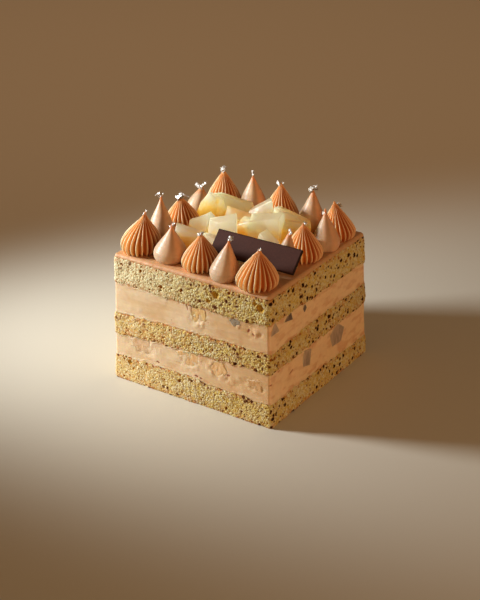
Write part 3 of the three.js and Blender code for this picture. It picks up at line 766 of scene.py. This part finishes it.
# The icing: a lip that rises from the sponge in a quarter ellipse, then rings that shrink to the middle
# over a top marked by long strokes of the palette knife
def addIcing():
    lipRows, noises = icing["lipRows"], icing["noises"]
    at, out = outline(icing["columns"])
    low = seamHeight(icing["lowerSeam"], at[:, 0], at[:, 1])
    turn = np.linspace(0, np.pi / 2, lipRows)[:, None]
    spots = np.stack([at[:, 0], at[:, 1], np.full(len(at), block["top"])], -1)
    ripple = icing["waves"] * noise(spots, noises["waves"])
    inset = icing["lipInset"] * (1 - np.cos(turn)) + icing["lipRecess"] - ripple * np.cos(turn)
    z = low + (block["top"] - low) * np.sin(turn)
    at = at * (1 - 2 * block["taper"] / np.array([block["width"], block["depth"]]))
    lip = np.stack([at[:, 0] - out[:, 0] * inset, at[:, 1] - out[:, 1] * inset, z], -1)
    rings = lip[-1] * np.linspace(1, icing["innerShare"], icing["rings"] + 1)[1:, None, None]
    rings[..., 2] = block["top"]
    points = np.concatenate([lip, rings])
    marks = noise(points, noises["stroke"])
    points[lipRows:, :, 2] += icing["stroke"] * (marks[lipRows:] - 1)
    tone = blend(icing["pale"], icing["deep"], ease(-0.6, 0.6, marks))
    poles = np.array([[0, 0, icing["under"]], [0, 0, block["top"] - icing["stroke"]]])
    addTube("icing_top", points, poles, tone, icing["deep"], icingMaterial)


addIcing()
print("icing built")


# The plaque: lower edge on the foot line, rising towards +Y, facing its own +Z
plaque = {
    "size": (59.5, 16.0, 2.2),
    "round": 0.35,
    "tilt": 46.0,
    "foot": (28.6, -32.0, 91.0),
    "cells": (60, 18, 6),
    "clear": 0.12,
    "clearReach": 5,
    "warp": 0.08,
    "warpNoise": (14, 131, 2),
    "rim": 0.8,
    # Painted shade: the edge tone darkens its rim, where the thin edges fall in shade
    "dark": tint(72, 41, 32),
    "edge": tint(42, 25, 22),
    "material": {
        "roughness": 0.55, "specular": 0.14, "grainScale": 900, "grain": (0.88, 1.12), "bump": 0.12,
        "bumpHeight": 0.0002,
    },
}


# A turn about an axis, as a matrix
def turnAbout(axis, degrees):
    return np.array(Matrix.Rotation(np.radians(degrees), 3, axis))


plaqueTurn = turnAbout("X", plaque["tilt"])
plaqueMiddle = np.array(plaque["foot"]) + plaqueTurn @ np.array([0, plaque["size"][1] / 2, 0])


# Points that lie inside the plaque's room are moved to its front or its back face
def clearOfPlaque(points, toFront):
    local = (points - plaqueMiddle) @ plaqueTurn
    half = np.array(plaque["size"]) / 2 + plaque["clear"]
    level = half[2] if toFront else -half[2]
    crossed = local[..., 2] < level if toFront else local[..., 2] > level
    near = np.abs(local[..., 2]) < plaque["clearReach"]
    within = (np.abs(local[..., :2]) < half[:2]).all(-1) & crossed & near
    local[..., 2] = np.where(within, level, local[..., 2])
    return local @ plaqueTurn.T + plaqueMiddle


# A box from -1 to 1 as six grids merged along their edges, with points closer together by the edges
def boxGrid(cells):
    spread = [np.sin(np.linspace(-np.pi / 2, np.pi / 2, steps + 1)) for steps in cells]
    spots, quads, count = [], [], 0
    for axis in range(3):
        first, second = (axis + 1) % 3, (axis + 2) % 3
        u, v = np.meshgrid(spread[first], spread[second], indexing="ij")
        quad = gridFaces(np.arange(u.size).reshape(u.shape))
        for sign in (-1, 1):
            spot = np.empty((*u.shape, 3))
            spot[..., axis], spot[..., first], spot[..., second] = sign, u, v
            quads.append(count + quad[:, ::sign])
            spots.append(spot.reshape(-1, 3))
            count += u.size
    spots = np.concatenate(spots)
    first, back = np.unique(np.round(spots * 1e6), axis=0, return_index=True, return_inverse=True)[1:]
    return spots[first], back.ravel()[np.concatenate(quads)]


# A box of the given half sizes with its edges rounded: each point is drawn to a ball about the nearest
# point of a smaller box
def roundedBox(half, radius, cells):
    spots, quads = boxGrid(cells)
    full = spots * half
    core = np.clip(full, radius - half, half - radius)
    away = full - core
    return core + radius * away / np.linalg.norm(away, axis=1)[:, None], quads


# The plaque: a thin rounded slab, barely warped, tilted back and set on its foot line
def addPlaque(node):
    half = np.array(plaque["size"]) / 2
    points, quads = roundedBox(half, plaque["round"], plaque["cells"])
    points[:, 2] += plaque["warp"] * noise(points * [1, 1, 0], plaque["warpNoise"])
    # Painted shade along the rim
    rim = np.min(half[:2] - np.abs(points[:, :2]), axis=1)
    tone = blend(plaque["edge"], plaque["dark"], ease(0, plaque["rim"], rim))
    points = points @ plaqueTurn.T + plaqueMiddle
    addPiece(f"fine_{node}", points, [quads], tone, plaqueMaterial, [node])


plaqueMaterial = foodMaterial("dark chocolate", plaque["material"])
addPlaque("chocolate_plaque")
print("plaque built")


kisses = {
    "belly": 0.22,
    "base": 0.8,
    "leanCurve": 1.5,
    "tip": {"radius": 0.7, "from": 0.94, "least": 0.03, "pole": 0.15},
    "sink": 0.15,
    # Height at which a kiss counts as in front of the plaque or behind it
    "judgedAt": 92.0,
    "fromLight": (0.89, 0.45),
    "ridged": {
        "rows": 74,
        "columns": 352,
        "ridges": 22,
        "crowding": 0.1,
        "finTop": 0.1,
        "finFoot": 0.8,
        "depth": 0.3,
        "depthUneven": 0.2,
        "tipMerge": 0.85,
        "rough": 0.12,
        "neckRough": 0.2,
        "footLift": 0.7,
        "twist": {"range": 0.25, "from": 0.35, "uneven": 0.04},
        "noises": {
            "depth": (0.4, 149, 2), "rough": (0.2, 151, 2), "foot": (0.3, 139, 2), "twist": (0.6, 137, 2),
        },
        # Painted light and shade: crests paler than valleys, each with a darker copy for the sides turned
        # from the light
        "crest": tint(255, 234, 188),
        "crestShade": tint(242, 194, 138),
        "valley": tint(252, 180, 90),
        "valleyShade": tint(198, 96, 32),
        "valleyAbove": 0.12,
        "tip": tint(244, 178, 112),
        "material": {
            "roughness": 0.42, "specular": 0.4, "glow": 0.06, "glowReach": (1, 0.5, 0.2),
            "glowScale": 0.0012, "grainScale": 600, "grain": (0.96, 1.03), "bump": 0.1,
            "bumpHeight": 0.0002,
        },
    },
    "plain": {
        "rows": 120,
        "columns": 88,
        "coarse": {"height": 0.04, "rings": 8, "waver": 0.25},
        "fine": {"height": 0.025, "rings": 21, "waver": 0.4},
        "soft": 0.3,
        "softNoise": (0.9, 157, 2),
        # Painted light and shade: body for the sides facing the light, shade for the sides turned from it
        "body": tint(213, 185, 153),
        "shade": tint(229, 178, 137),
        "tip": tint(226, 150, 92),
        # Painted light and shade: strength of the tone by how far a side turns from the light
        "turn": (-1.0, -0.6, -0.35, -0.1, 0.12, 0.35, 0.65),
        "strength": (0.83, 0.94, 1.16, 1.2, 0.88, 0.7, 0.95),
        "material": {
            "roughness": 0.38, "specular": 0.3, "glow": 0.35, "glowReach": (1, 0.6, 0.32),
            "glowScale": 0.0025, "grainScale": 500, "grain": (0.97, 1.02), "bump": 0.05,
            "bumpHeight": 0.0002,
        },
    },
    # x, y, radius, height, lean of the tip, shoulder and neck; ridged and plain in turn
    "places": [
        (-45.8, -42.7, 12.6, 26.1, (3.5, 2.2), (1.8, 1.7)),
        (-22.4, -43.4, 10.3, 23.4, (1.9, 0.4), (1.45, 1.45)),
        (0.2, -43.2, 11.8, 22.6, (1.1, 0.1), (1.4, 1.15)),
        (20.6, -47.9, 9, 24.9, (3, 1.4), (1.2, 1.15)),
        (42.6, -46.2, 12.8, 23.1, (1.1, 0.9), (1.45, 1.15)),
        (44.2, -18.6, 7.6, 23.4, (0.7, 4.3), (1.2, 1.0)),
        (45.2, 1.3, 11.9, 22.8, (-0.6, 0.1), (1.35, 1.1)),
        (49.2, 21.5, 8.4, 26.6, (-0.8, -0.8), (1.3, 1.4)),
        (46, 41.3, 11.3, 23.4, (-2.8, -0.9), (1.2, 1.1)),
        (25.7, 42, 8.8, 26.6, (0.3, 1.8), (1.4, 1.15)),
        (1.7, 43.3, 11.9, 25.8, (0, 0.8), (1.25, 1.1)),
        (-19.6, 43.7, 9.2, 26.8, (-0.4, 0.5), (1.35, 1.15)),
        (-42.2, 42.3, 12, 26, (0.4, 0.3), (1.3, 1.0)),
        (-48, 20.4, 8.3, 20.6, (2.5, 2.4), (1.9, 1.1)),
        (-45.2, 0, 12, 21, (-0.4, 0.3), (1.4, 1.05)),
        (-46.5, -20.6, 8.2, 28, (-1.2, 3), (1.4, 1.4)),
    ],
}
kissMaterials = {kind: foodMaterial(f"{kind} kiss", kisses[kind]["material"]) for kind in ("ridged", "plain")}


# Share of a kiss's radius at a share of its height: round under the belly, above it a shoulder and a
# neck that draws in to the tip
def kissProfile(level, shoulder, neck):
    down = np.clip((kisses["belly"] - level) / kisses["belly"], 0, 1)
    up = np.clip((level - kisses["belly"]) / (1 - kisses["belly"]), 0, 1)
    return (1 - up**shoulder) ** neck - (1 - kisses["base"]) * down**3


# Points of an upright tube of radius 1 and height 3, where a kiss's noise is read
def unitTube(angle, level):
    return np.stack([np.cos(angle) + 0 * level, np.sin(angle) + 0 * level, 3 * level + 0 * angle], -1)


# A ridged kiss: rounded fins with wide valleys between, slightly twisted, that merge in a rough neck. Fins
# are painted paler than valleys, and both are painted darker as they turn from the light: painted light and
# shade
def ridgedKiss(number, level, turn, mean):
    fins = kisses["ridged"]
    twist, noises = fins["twist"], fins["noises"]
    phase = turn * fins["ridges"]
    phase = phase - fins["crowding"] * np.sin(2 * np.pi * phase)
    angle = 2 * np.pi * phase / fins["ridges"]
    unit = unitTube(angle, level)
    fromCrest = 2 * np.abs(phase - np.round(phase))
    trough = ease(fins["finTop"], fins["finFoot"], fromCrest)
    depth = fins["depth"] * (1 - fins["tipMerge"] * ease(0.8, 0.97, level))
    depth = depth * (1 + fins["depthUneven"] * noise(unit, noises["depth"], number))
    inNeck = ease(0.6, 0.8, level) * (1 - ease(0.92, 1.0, level))
    rough = fins["rough"] + fins["neckRough"] * inNeck
    reach = mean * (1 - depth * trough) + rough * noise(unit, noises["rough"], number)
    lift = fins["footLift"] * noise(unit * [1, 1, 0], noises["foot"], number)
    lift = lift * (1 - ease(0, 0.2, level))
    shaded = ease(-0.15, 0.8, unit[..., :2] @ kisses["fromLight"])
    crest = blend(fins["crest"], fins["crestShade"], shaded)
    valley = blend(fins["valley"], fins["valleyShade"], shaded)
    tone = blend(crest, valley, ease(0.12, 0.5, fromCrest + 0 * level))
    tone = blend(tone, valley, fins["valleyAbove"] * ease(0.35, 0.75, level + 0 * angle))
    tone = blend(tone, fins["tip"], ease(0.78, 0.96, level + 0 * angle))
    turned = twist["range"] * (cellNumber(np.array([[number, 3, 5]]), 7)[0] - twist["from"])
    uneven = twist["uneven"] * noise(unit * [1, 1, 0.6], noises["twist"], number)
    return angle - turned * level - uneven, reach, lift, tone


# A plain kiss: faint rings of two sizes and a soft unevenness, with painted light and shade: a tone that
# follows its turn from the light
def plainKiss(number, level, turn, mean):
    plain, coarse, fine = kisses["plain"], kisses["plain"]["coarse"], kisses["plain"]["fine"]
    angle = 2 * np.pi * turn
    unit = unitTube(angle, level)
    ring = coarse["rings"] * level + coarse["waver"] * np.sin(angle + number)
    relief = coarse["height"] * np.sin(2 * np.pi * ring + number)
    ring = fine["rings"] * level + fine["waver"] * np.sin(angle + 2 * number)
    relief = relief + fine["height"] * np.sin(2 * np.pi * ring)
    relief = relief + plain["soft"] * noise(unit, plain["softNoise"], number)
    reach = mean + relief * np.sin(np.pi * np.clip(level * 1.05, 0, 1))
    turned = unit[..., :2] @ kisses["fromLight"]
    tone = blend(plain["body"], plain["shade"], ease(-0.3, 0.7, turned))
    tone = tone * np.interp(turned, plain["turn"], plain["strength"])[..., None]
    tone = blend(tone, plain["tip"], ease(0.7, 0.98, level + 0 * angle))
    return angle, reach, 0 * level * turn, tone


# A kiss: rings about an axis that leans more the higher it is, kept clear of the plaque
def addKiss(number, x, y, radius, height, lean, shape):
    kind, build = (("ridged", ridgedKiss), ("plain", plainKiss))[number % 2]
    rows, columns, tip = kisses[kind]["rows"], kisses[kind]["columns"], kisses["tip"]
    level = np.linspace(0, 1, rows)[:, None]
    nib = tip["radius"] * np.sqrt(np.clip(1 - ease(tip["from"], 1.0, level), tip["least"], 1))
    mean = np.maximum(radius * kissProfile(level, *shape), nib)
    angle, reach, lift, tone = build(number, level, np.arange(columns)[None] / columns, mean)
    points = np.stack([
        x + lean[0] * level ** kisses["leanCurve"] + reach * np.cos(angle),
        y + lean[1] * level ** kisses["leanCurve"] + reach * np.sin(angle),
        block["top"] - kisses["sink"] + (height + kisses["sink"]) * level + lift,
    ], -1)
    poles = np.array([points[0].mean(0), points[-1].mean(0) + [0, 0, tip["pole"]]])
    tone = np.concatenate([tone.reshape(-1, 3), tone[0, :1], tone[-1, :1]])
    points = np.concatenate([points.reshape(-1, 3), poles])
    inFront = ((np.array([x, y, kisses["judgedAt"]]) - plaqueMiddle) @ plaqueTurn)[2] > 0
    points = clearOfPlaque(points, inFront)
    slot, faces = f"{kind}_kiss", tubeFaces(rows, columns)
    node = f"{slot}_{number // 2 + 1}"
    addPiece(f"fine_{node}", points, faces, tone, kissMaterials[kind], [node])


for number, row in enumerate(kisses["places"]):
    addKiss(number, *row)
print("kisses built")


pears = {
    "cells": 34,
    "swell": (1.1, 1.12, 1.04),
    "sharpness": 44,
    "facetTilt": 0.22,
    "extraFacets": 4,
    "seed": 300,
    "extraReach": (0.62, 0.8),
    "fibre": 0.1,
    "warp": 0.5,
    "noises": {"fibre": ((7, 0.9, 0.9), 163, 2), "warp": (7.0, 173, 2)},
    # Painted amber glow and shade, deeper lower down, for light carried through the fruit, mixed with its own
    # uneven colour
    "paintedAmber": {"base": 0.45, "rise": 0.75, "fibre": 0.25, "warp": 0.5},
    "aboveIcing": 0.02,
    "pale": tint(245, 250, 234),
    "amber": tint(255, 226, 120),
    # centre above the icing, size, turn about x, y and z, narrowing towards the top, fall to the far end,
    # shift of the top along and across, and a shift of its painted amber glow and shade
    "places": [
        ((-31.4, 19, 11.7), (14.5, 19, 24), (0, 0, 85), 0.62, 0.42, (0, -3), 0.1),
        ((-1.1, 24.2, 10.5), (17, 12, 21), (4, 0, 190), 0.5, 0.42, (0, 0), 0),
        ((16.2, 4, 9.6), (20, 10.5, 19), (0, 0, 5), 0.25, -0.2, (0, 2), -0.1),
        ((-7.2, -10.4, 9.3), (17, 10, 18.4), (0, -7, 10), 0.25, 0.03, (1, 2), 0),
        ((-26.4, -5.9, 7.8), (13, 13, 15.4), (0, 4, 185), 0.5, 0.24, (0, -2), 0),
        ((-24.6, -20.8, 5.4), (17, 13, 11.4), (-8, 0, 20), 0.4, 0.1, (-2, 4), 0.1),
        ((21.7, 25.2, 9.8), (22.5, 12, 19), (4, 0, 18), 0.35, 0.42, (0, 0), 0.3),
        ((-20, 25.6, 8.7), (21, 9.5, 17.4), (4, 0, 12), 0.2, 0.08, (0, 0), 0.1),
        ((-8.6, 11.4, 7), (19, 15, 14.6), (0, 5, 30), 0.15, 0.1, (1, 0), 0.4),
        ((27.8, 11.5, 9), (17, 12, 18), (-4, 0, 40), 0.3, 0.25, (1, 2), 0.4),
        ((24.6, -4.6, 6), (14, 12, 12.5), (6, 4, -15), 0.45, 0.3, (0, 0), -0.3),
        ((-3.5, -21.8, 6), (17, 11, 12), (-8, 0, -10), 0.3, 0.3, (0, 0), 0.1),
        ((0.5, 3.5, 7.7), (12, 10, 15.4), (0, 7, -14), 0.25, 0.05, (2.5, 3), 0.3),
    ],
    "material": {
        "roughness": 0.34, "specular": 0.45, "through": 0.79, "coat": 0.45, "coatRoughness": 0.15,
        # Its grain lifts the colour above one: painted light that brightens the fruit beyond what the lamps
        # give
        "grainScale": 520, "grain": (1.09, 1.19), "bump": 0.1,
    },
}
pearMaterial = foodMaterial("pear", pears["material"])


# A pear chunk: a box cut by a few more planes, each tilted by chance. In any direction its reach is one
# over the root of the summed powers of that direction's share of each plane, which rounds the edges. It is
# then narrowed towards the top, lowered towards its far end, leant, warped, drawn in fine fibres, turned
# into place and laid flat on the icing
def addPear(number, at, size, turn, ridge, fall, lean, amberShift):
    half = np.array(size) / 2
    draw = np.random.default_rng(pears["seed"] + number)
    normals = np.concatenate([np.eye(3), -np.eye(3)])
    normals = normals + draw.uniform(-1, 1, normals.shape) * pears["facetTilt"] * (normals == 0)
    extra = draw.normal(size=(pears["extraFacets"], 3))
    extra /= np.abs(extra).sum(1)[:, None]
    normals = np.concatenate([normals, extra / draw.uniform(*pears["extraReach"], (len(extra), 1))])
    spots, quads = boxGrid((pears["cells"],) * 3)
    spots = spots / np.linalg.norm(spots, axis=1)[:, None]
    share = np.maximum(spots @ normals.T, 0) ** pears["sharpness"]
    points = spots * half * pears["swell"] * (share.sum(1) ** (-1 / pears["sharpness"]))[:, None]
    along, rise = points[:, 0] / half[0], points[:, 2] / half[2]
    level = (rise + 1) * (1 - fall * (along + 1) / 2)
    points[:, 0] += lean[0] * level / 2
    points[:, 1] = points[:, 1] * (1 - ridge * (rise + 1) / 2) + lean[1] * level / 2
    points[:, 2] = half[2] * (level - 1)
    away = points / np.linalg.norm(points, axis=1)[:, None]
    fibre = noise(points, pears["noises"]["fibre"], number)
    warp = [noise(points, pears["noises"]["warp"], number + 31 * k) for k in range(3)]
    # Painted glow and shade: amber lower down, shifted for each piece and broken by fibres and warp
    paintedAmber = pears["paintedAmber"]
    depth = amberShift + paintedAmber["base"] - paintedAmber["rise"] * rise + paintedAmber["fibre"] * fibre + paintedAmber["warp"] * warp[0]
    tone = blend(pears["pale"], pears["amber"], ease(0.0, 1.0, depth))
    points = points + pears["warp"] * np.stack(warp, -1)
    points = points + away * (pears["fibre"] * fibre)[:, None]
    spin = turnAbout("Z", turn[2]) @ turnAbout("Y", turn[1]) @ turnAbout("X", turn[0])
    points = points @ spin.T + np.array(at) + [0, 0, block["top"]]
    points[:, 2] = np.maximum(points[:, 2], block["top"] + pears["aboveIcing"])
    points = clearOfPlaque(points, False)
    node = f"pear_piece_{number}"
    addPiece(f"fine_{node}", points, [quads], tone, pearMaterial, [node])


for number, row in enumerate(pears["places"], 1):
    addPear(number, *row)
print("pears built")


leaf = {
    "cells": (8, 6),
    "thickness": 0.1,
    "crumple": 0.65,
    "ragged": 0.35,
    "noises": {"ragged": (1.0, 181, 2), "crease": (0.9, 191, 2)},
    "seed": 29,
    # Ranges of the chance turns about z and x, and the direction across the photo's view
    "aside": (-45, 20),
    "backward": (35, 80),
    "across": (0.825, 0.5655, 0),
    # Painted reflection and shade: glints on the raised crumples, shade in the creases
    "crumpleGlint": tint(252, 250, 244),
    "creaseShade": tint(158, 148, 134),
    # kiss, then place from its tip across the view and upward, length, width and turn across the view
    "flakes": [
        (0, -0.9, -1.8, 2.2, 1.6, 40), (0, 0.3, -0.2, 1.6, 1.2, 70), (1, 0.8, 0.1, 2.6, 1.6, 30),
        (1, -0.5, -1.3, 2.4, 1.5, 60), (2, -1.4, -0.7, 3.4, 2.2, 20), (2, 0.2, -0.3, 2.6, 1.8, 75),
        (3, 0.3, -0.2, 2.2, 1.8, 50), (3, 1.2, 0.2, 3.4, 3.2, 30), (4, 0.3, -0.3, 2.2, 1.6, 20),
        (5, 0.1, -0.8, 4.0, 3.2, -40), (6, 0.8, -0.3, 2.4, 2.0, 60), (7, -0.4, -3.2, 4.0, 1.8, 10),
        (8, 2.8, -2.8, 3.6, 2.8, -45), (9, -1.3, 0, 4.4, 2.6, 30), (9, -0.1, 0.8, 4.2, 2.2, 60),
        (9, 0.9, 1.1, 4.0, 2.0, 40), (9, 1.6, 0.1, 2.6, 1.6, -10), (10, -1.7, -0.5, 3.6, 1.6, -35),
        (10, 0.9, -0.5, 2.8, 1.4, 40), (11, 0, 0.1, 2.4, 2.2, 70), (11, -0.1, 1.6, 2.2, 2.0, 20),
        (12, -0.8, -0.1, 4.4, 3.0, 20), (12, -0.1, 1.0, 4.0, 2.6, 65), (13, -1.8, -0.2, 5.4, 2.4, -20),
        (13, 1.2, 1.6, 4.2, 2.2, 55), (14, -1.8, -0.3, 5.4, 4.0, 70), (14, -0.4, 0, 4.4, 2.6, 10),
        (14, 2.0, 0.2, 6.4, 2.6, -20), (15, -1.3, -0.3, 3.4, 2.4, -30), (15, 0.6, -0.3, 3.2, 1.4, 75),
    ],
    "material": {
        "roughness": 0.34, "metallic": 0.3, "specular": 0.6, "grainScale": 900, "grain": (0.92, 1.05),
        "bump": 0.2, "bumpHeight": 0.0002,
    },
}
leafMaterial = foodMaterial("silver leaf", leaf["material"])


# Crumpled leaf: thin closed sheets, each a small grid pushed in and out by coarse noise, with a back a
# tenth of a millimetre behind its front
def addLeaf():
    wide, tall = leaf["cells"]
    u, v = np.meshgrid(np.linspace(-0.5, 0.5, wide + 1), np.linspace(-0.5, 0.5, tall + 1), indexing="ij")
    sheet = np.stack([u, v, 0 * u], -1)
    index = np.arange(u.size).reshape(u.shape)
    front = gridFaces(index)
    rim = np.concatenate([index[:, 0], index[-1, 1:], index[-2::-1, -1], index[0, -2:0:-1]])
    rimNext = np.roll(rim, -1)
    band = np.stack([rim, rim + u.size, rimNext + u.size, rimNext], -1)
    flakeFaces = np.concatenate([front, front[:, ::-1] + u.size, band])
    draw = np.random.default_rng(leaf["seed"])
    points, tone, faces = [], [], []
    for count, (kiss, across, up, length, width, tilt) in enumerate(leaf["flakes"]):
        ragged = 1 + leaf["ragged"] * noise(4 * sheet + [0, 0, 9 * count], leaf["noises"]["ragged"])
        crease = noise(3 * sheet + [0, 0, 5 * count], leaf["noises"]["crease"])
        lift = leaf["crumple"] * crease * min(length, width)
        flat = np.stack([u * length * ragged, v * width * ragged, lift], -1)
        aside = turnAbout("Z", draw.uniform(*leaf["aside"]))
        spin = aside @ turnAbout("X", draw.uniform(*leaf["backward"])) @ turnAbout("Z", tilt)
        place = kisses["places"][kiss]
        height, lean = place[3:5]
        tip = np.array([place[0] + lean[0], place[1] + lean[1], block["top"] + height])
        tip = tip + across * np.array(leaf["across"]) + [0, 0, up]
        ahead = flat.reshape(-1, 3) @ spin.T + tip
        points += [ahead, ahead - leaf["thickness"] * spin[:, 2]]
        # Painted reflection and shade following the crumples
        share = np.clip(0.5 + crease, 0, 1).ravel()
        tone += [blend(leaf["creaseShade"], leaf["crumpleGlint"], share)] * 2
        faces.append(flakeFaces + 2 * u.size * count)
    points, tone, faces = (np.concatenate(parts) for parts in (points, tone, faces))
    addPiece("silver_leaf", points, [faces], tone, leafMaterial)


addLeaf()
print("leaf built")


studio = {
    "floor": {"size": 5.0, "height": -0.0001},
    "paint": {"Base Color": (0.68, 0.66, 0.56, 1), "Roughness": 0.7, "Specular IOR Level": 0.2},
    "world": {"Color": (1.0, 0.59, 0.32, 1), "Strength": 0.17},
    # For each lamp: its kind, its place, what it looks at, and its settings
    "lamps": {
        "key": (
            "SPOT",
            (-0.464, -0.232, 0.271),
            (-0.052, 0.004, 0.07),
            {"energy": 20.0, "shadow_soft_size": 0.065, "spot_size": np.radians(50.0), "spot_blend": 1.0},
        ),
        "fill": (
            "AREA",
            (0.95, -0.4, 0.15),
            (0.0, 0.0, 0.04),
            {"energy": 3.65, "size": 0.6, "color": (1.0, 0.58, 0.28)},
        ),
        "wash": (
            "SPOT",
            (-0.52, 0.55, 1.3),
            (-0.521, 0.551, 0.0),
            {
                "energy": 9.5,
                "color": (1.0, 0.56, 0.3),
                "shadow_soft_size": 0.065,
                "spot_size": np.radians(58.0),
                "spot_blend": 0.5,
            },
        ),
    },
}


# A turn and place from its right, up and back directions
def placed(right, up, back, place):
    matrix = np.eye(4)
    matrix[:3] = np.stack([right, up, back, place], 1)
    return Matrix(matrix.tolist())


# A turn and place whose own -Z looks from one point towards another
def aimed(place, aim):
    back = (place - aim) / np.linalg.norm(place - aim)
    right = np.cross([0, 0, 1.0], back)
    right /= np.linalg.norm(right)
    return placed(right, np.cross(back, right), back, place)


# The floor, the light from all round and the lamps
def addStudio():
    ground = studio["floor"]
    half = ground["size"] / 2
    corners = [(-half, -half), (half, -half), (half, half), (-half, half)]
    mesh = bpy.data.meshes.new("floor")
    mesh.from_pydata([(*corner, ground["height"]) for corner in corners], [], [(0, 1, 2, 3)])
    floor = bpy.data.objects.new("floor", mesh)
    bpy.context.scene.collection.objects.link(floor)
    paint = bpy.data.materials.new("floor")
    paint.use_nodes = True
    shader = paint.node_tree.nodes["Principled BSDF"]
    for socket, value in studio["paint"].items():
        shader.inputs[socket].default_value = value
    mesh.materials.append(paint)

    world = bpy.data.worlds.new("studio")
    world.use_nodes = True
    sky = world.node_tree.nodes["Background"]
    for socket, value in studio["world"].items():
        sky.inputs[socket].default_value = value
    bpy.context.scene.world = world

    for name, (kind, place, aim, settings) in studio["lamps"].items():
        light = bpy.data.lights.new(name, kind)
        for setting, value in settings.items():
            setattr(light, setting, value)
        lamp = bpy.data.objects.new(name, light)
        lamp.matrix_world = aimed(np.array(place), np.array(aim))
        bpy.context.scene.collection.objects.link(lamp)


# The photo's view: turn about the cake, height, distance and side shift in millimetres, and roll
view = {
    "azimuth": 34.44,
    "elevation": 26.395,
    "distance": 870.4,
    "shift": (-1.05, 41.15),
    "roll": 0.818,
    "lens": 79.98,
    "sensor": 36,
    "nearest": 0.01,
}


# The camera: on a ball about the cake, moved aside and rolled
def addCamera():
    turn, rise, roll = (np.radians(view[key]) for key in ("azimuth", "elevation", "roll"))
    back = np.array([np.sin(turn) * np.cos(rise), -np.cos(turn) * np.cos(rise), np.sin(rise)])
    right = np.array([np.cos(turn), np.sin(turn), 0])
    up = np.cross(back, right)
    place = right * view["shift"][0] + up * view["shift"][1] + back * view["distance"]
    rolledRight = right * np.cos(roll) - up * np.sin(roll)
    rolledUp = right * np.sin(roll) + up * np.cos(roll)
    lens = bpy.data.cameras.new("camera")
    lens.lens = view["lens"]
    lens.sensor_width = view["sensor"]
    lens.clip_start = view["nearest"]
    camera = bpy.data.objects.new("camera", lens)
    camera.matrix_world = placed(rolledRight, rolledUp, back, place * 0.001)
    bpy.context.scene.collection.objects.link(camera)
    bpy.context.scene.camera = camera


addStudio()
addCamera()
bpy.context.scene.view_settings.view_transform = "Standard"
print("studio built")
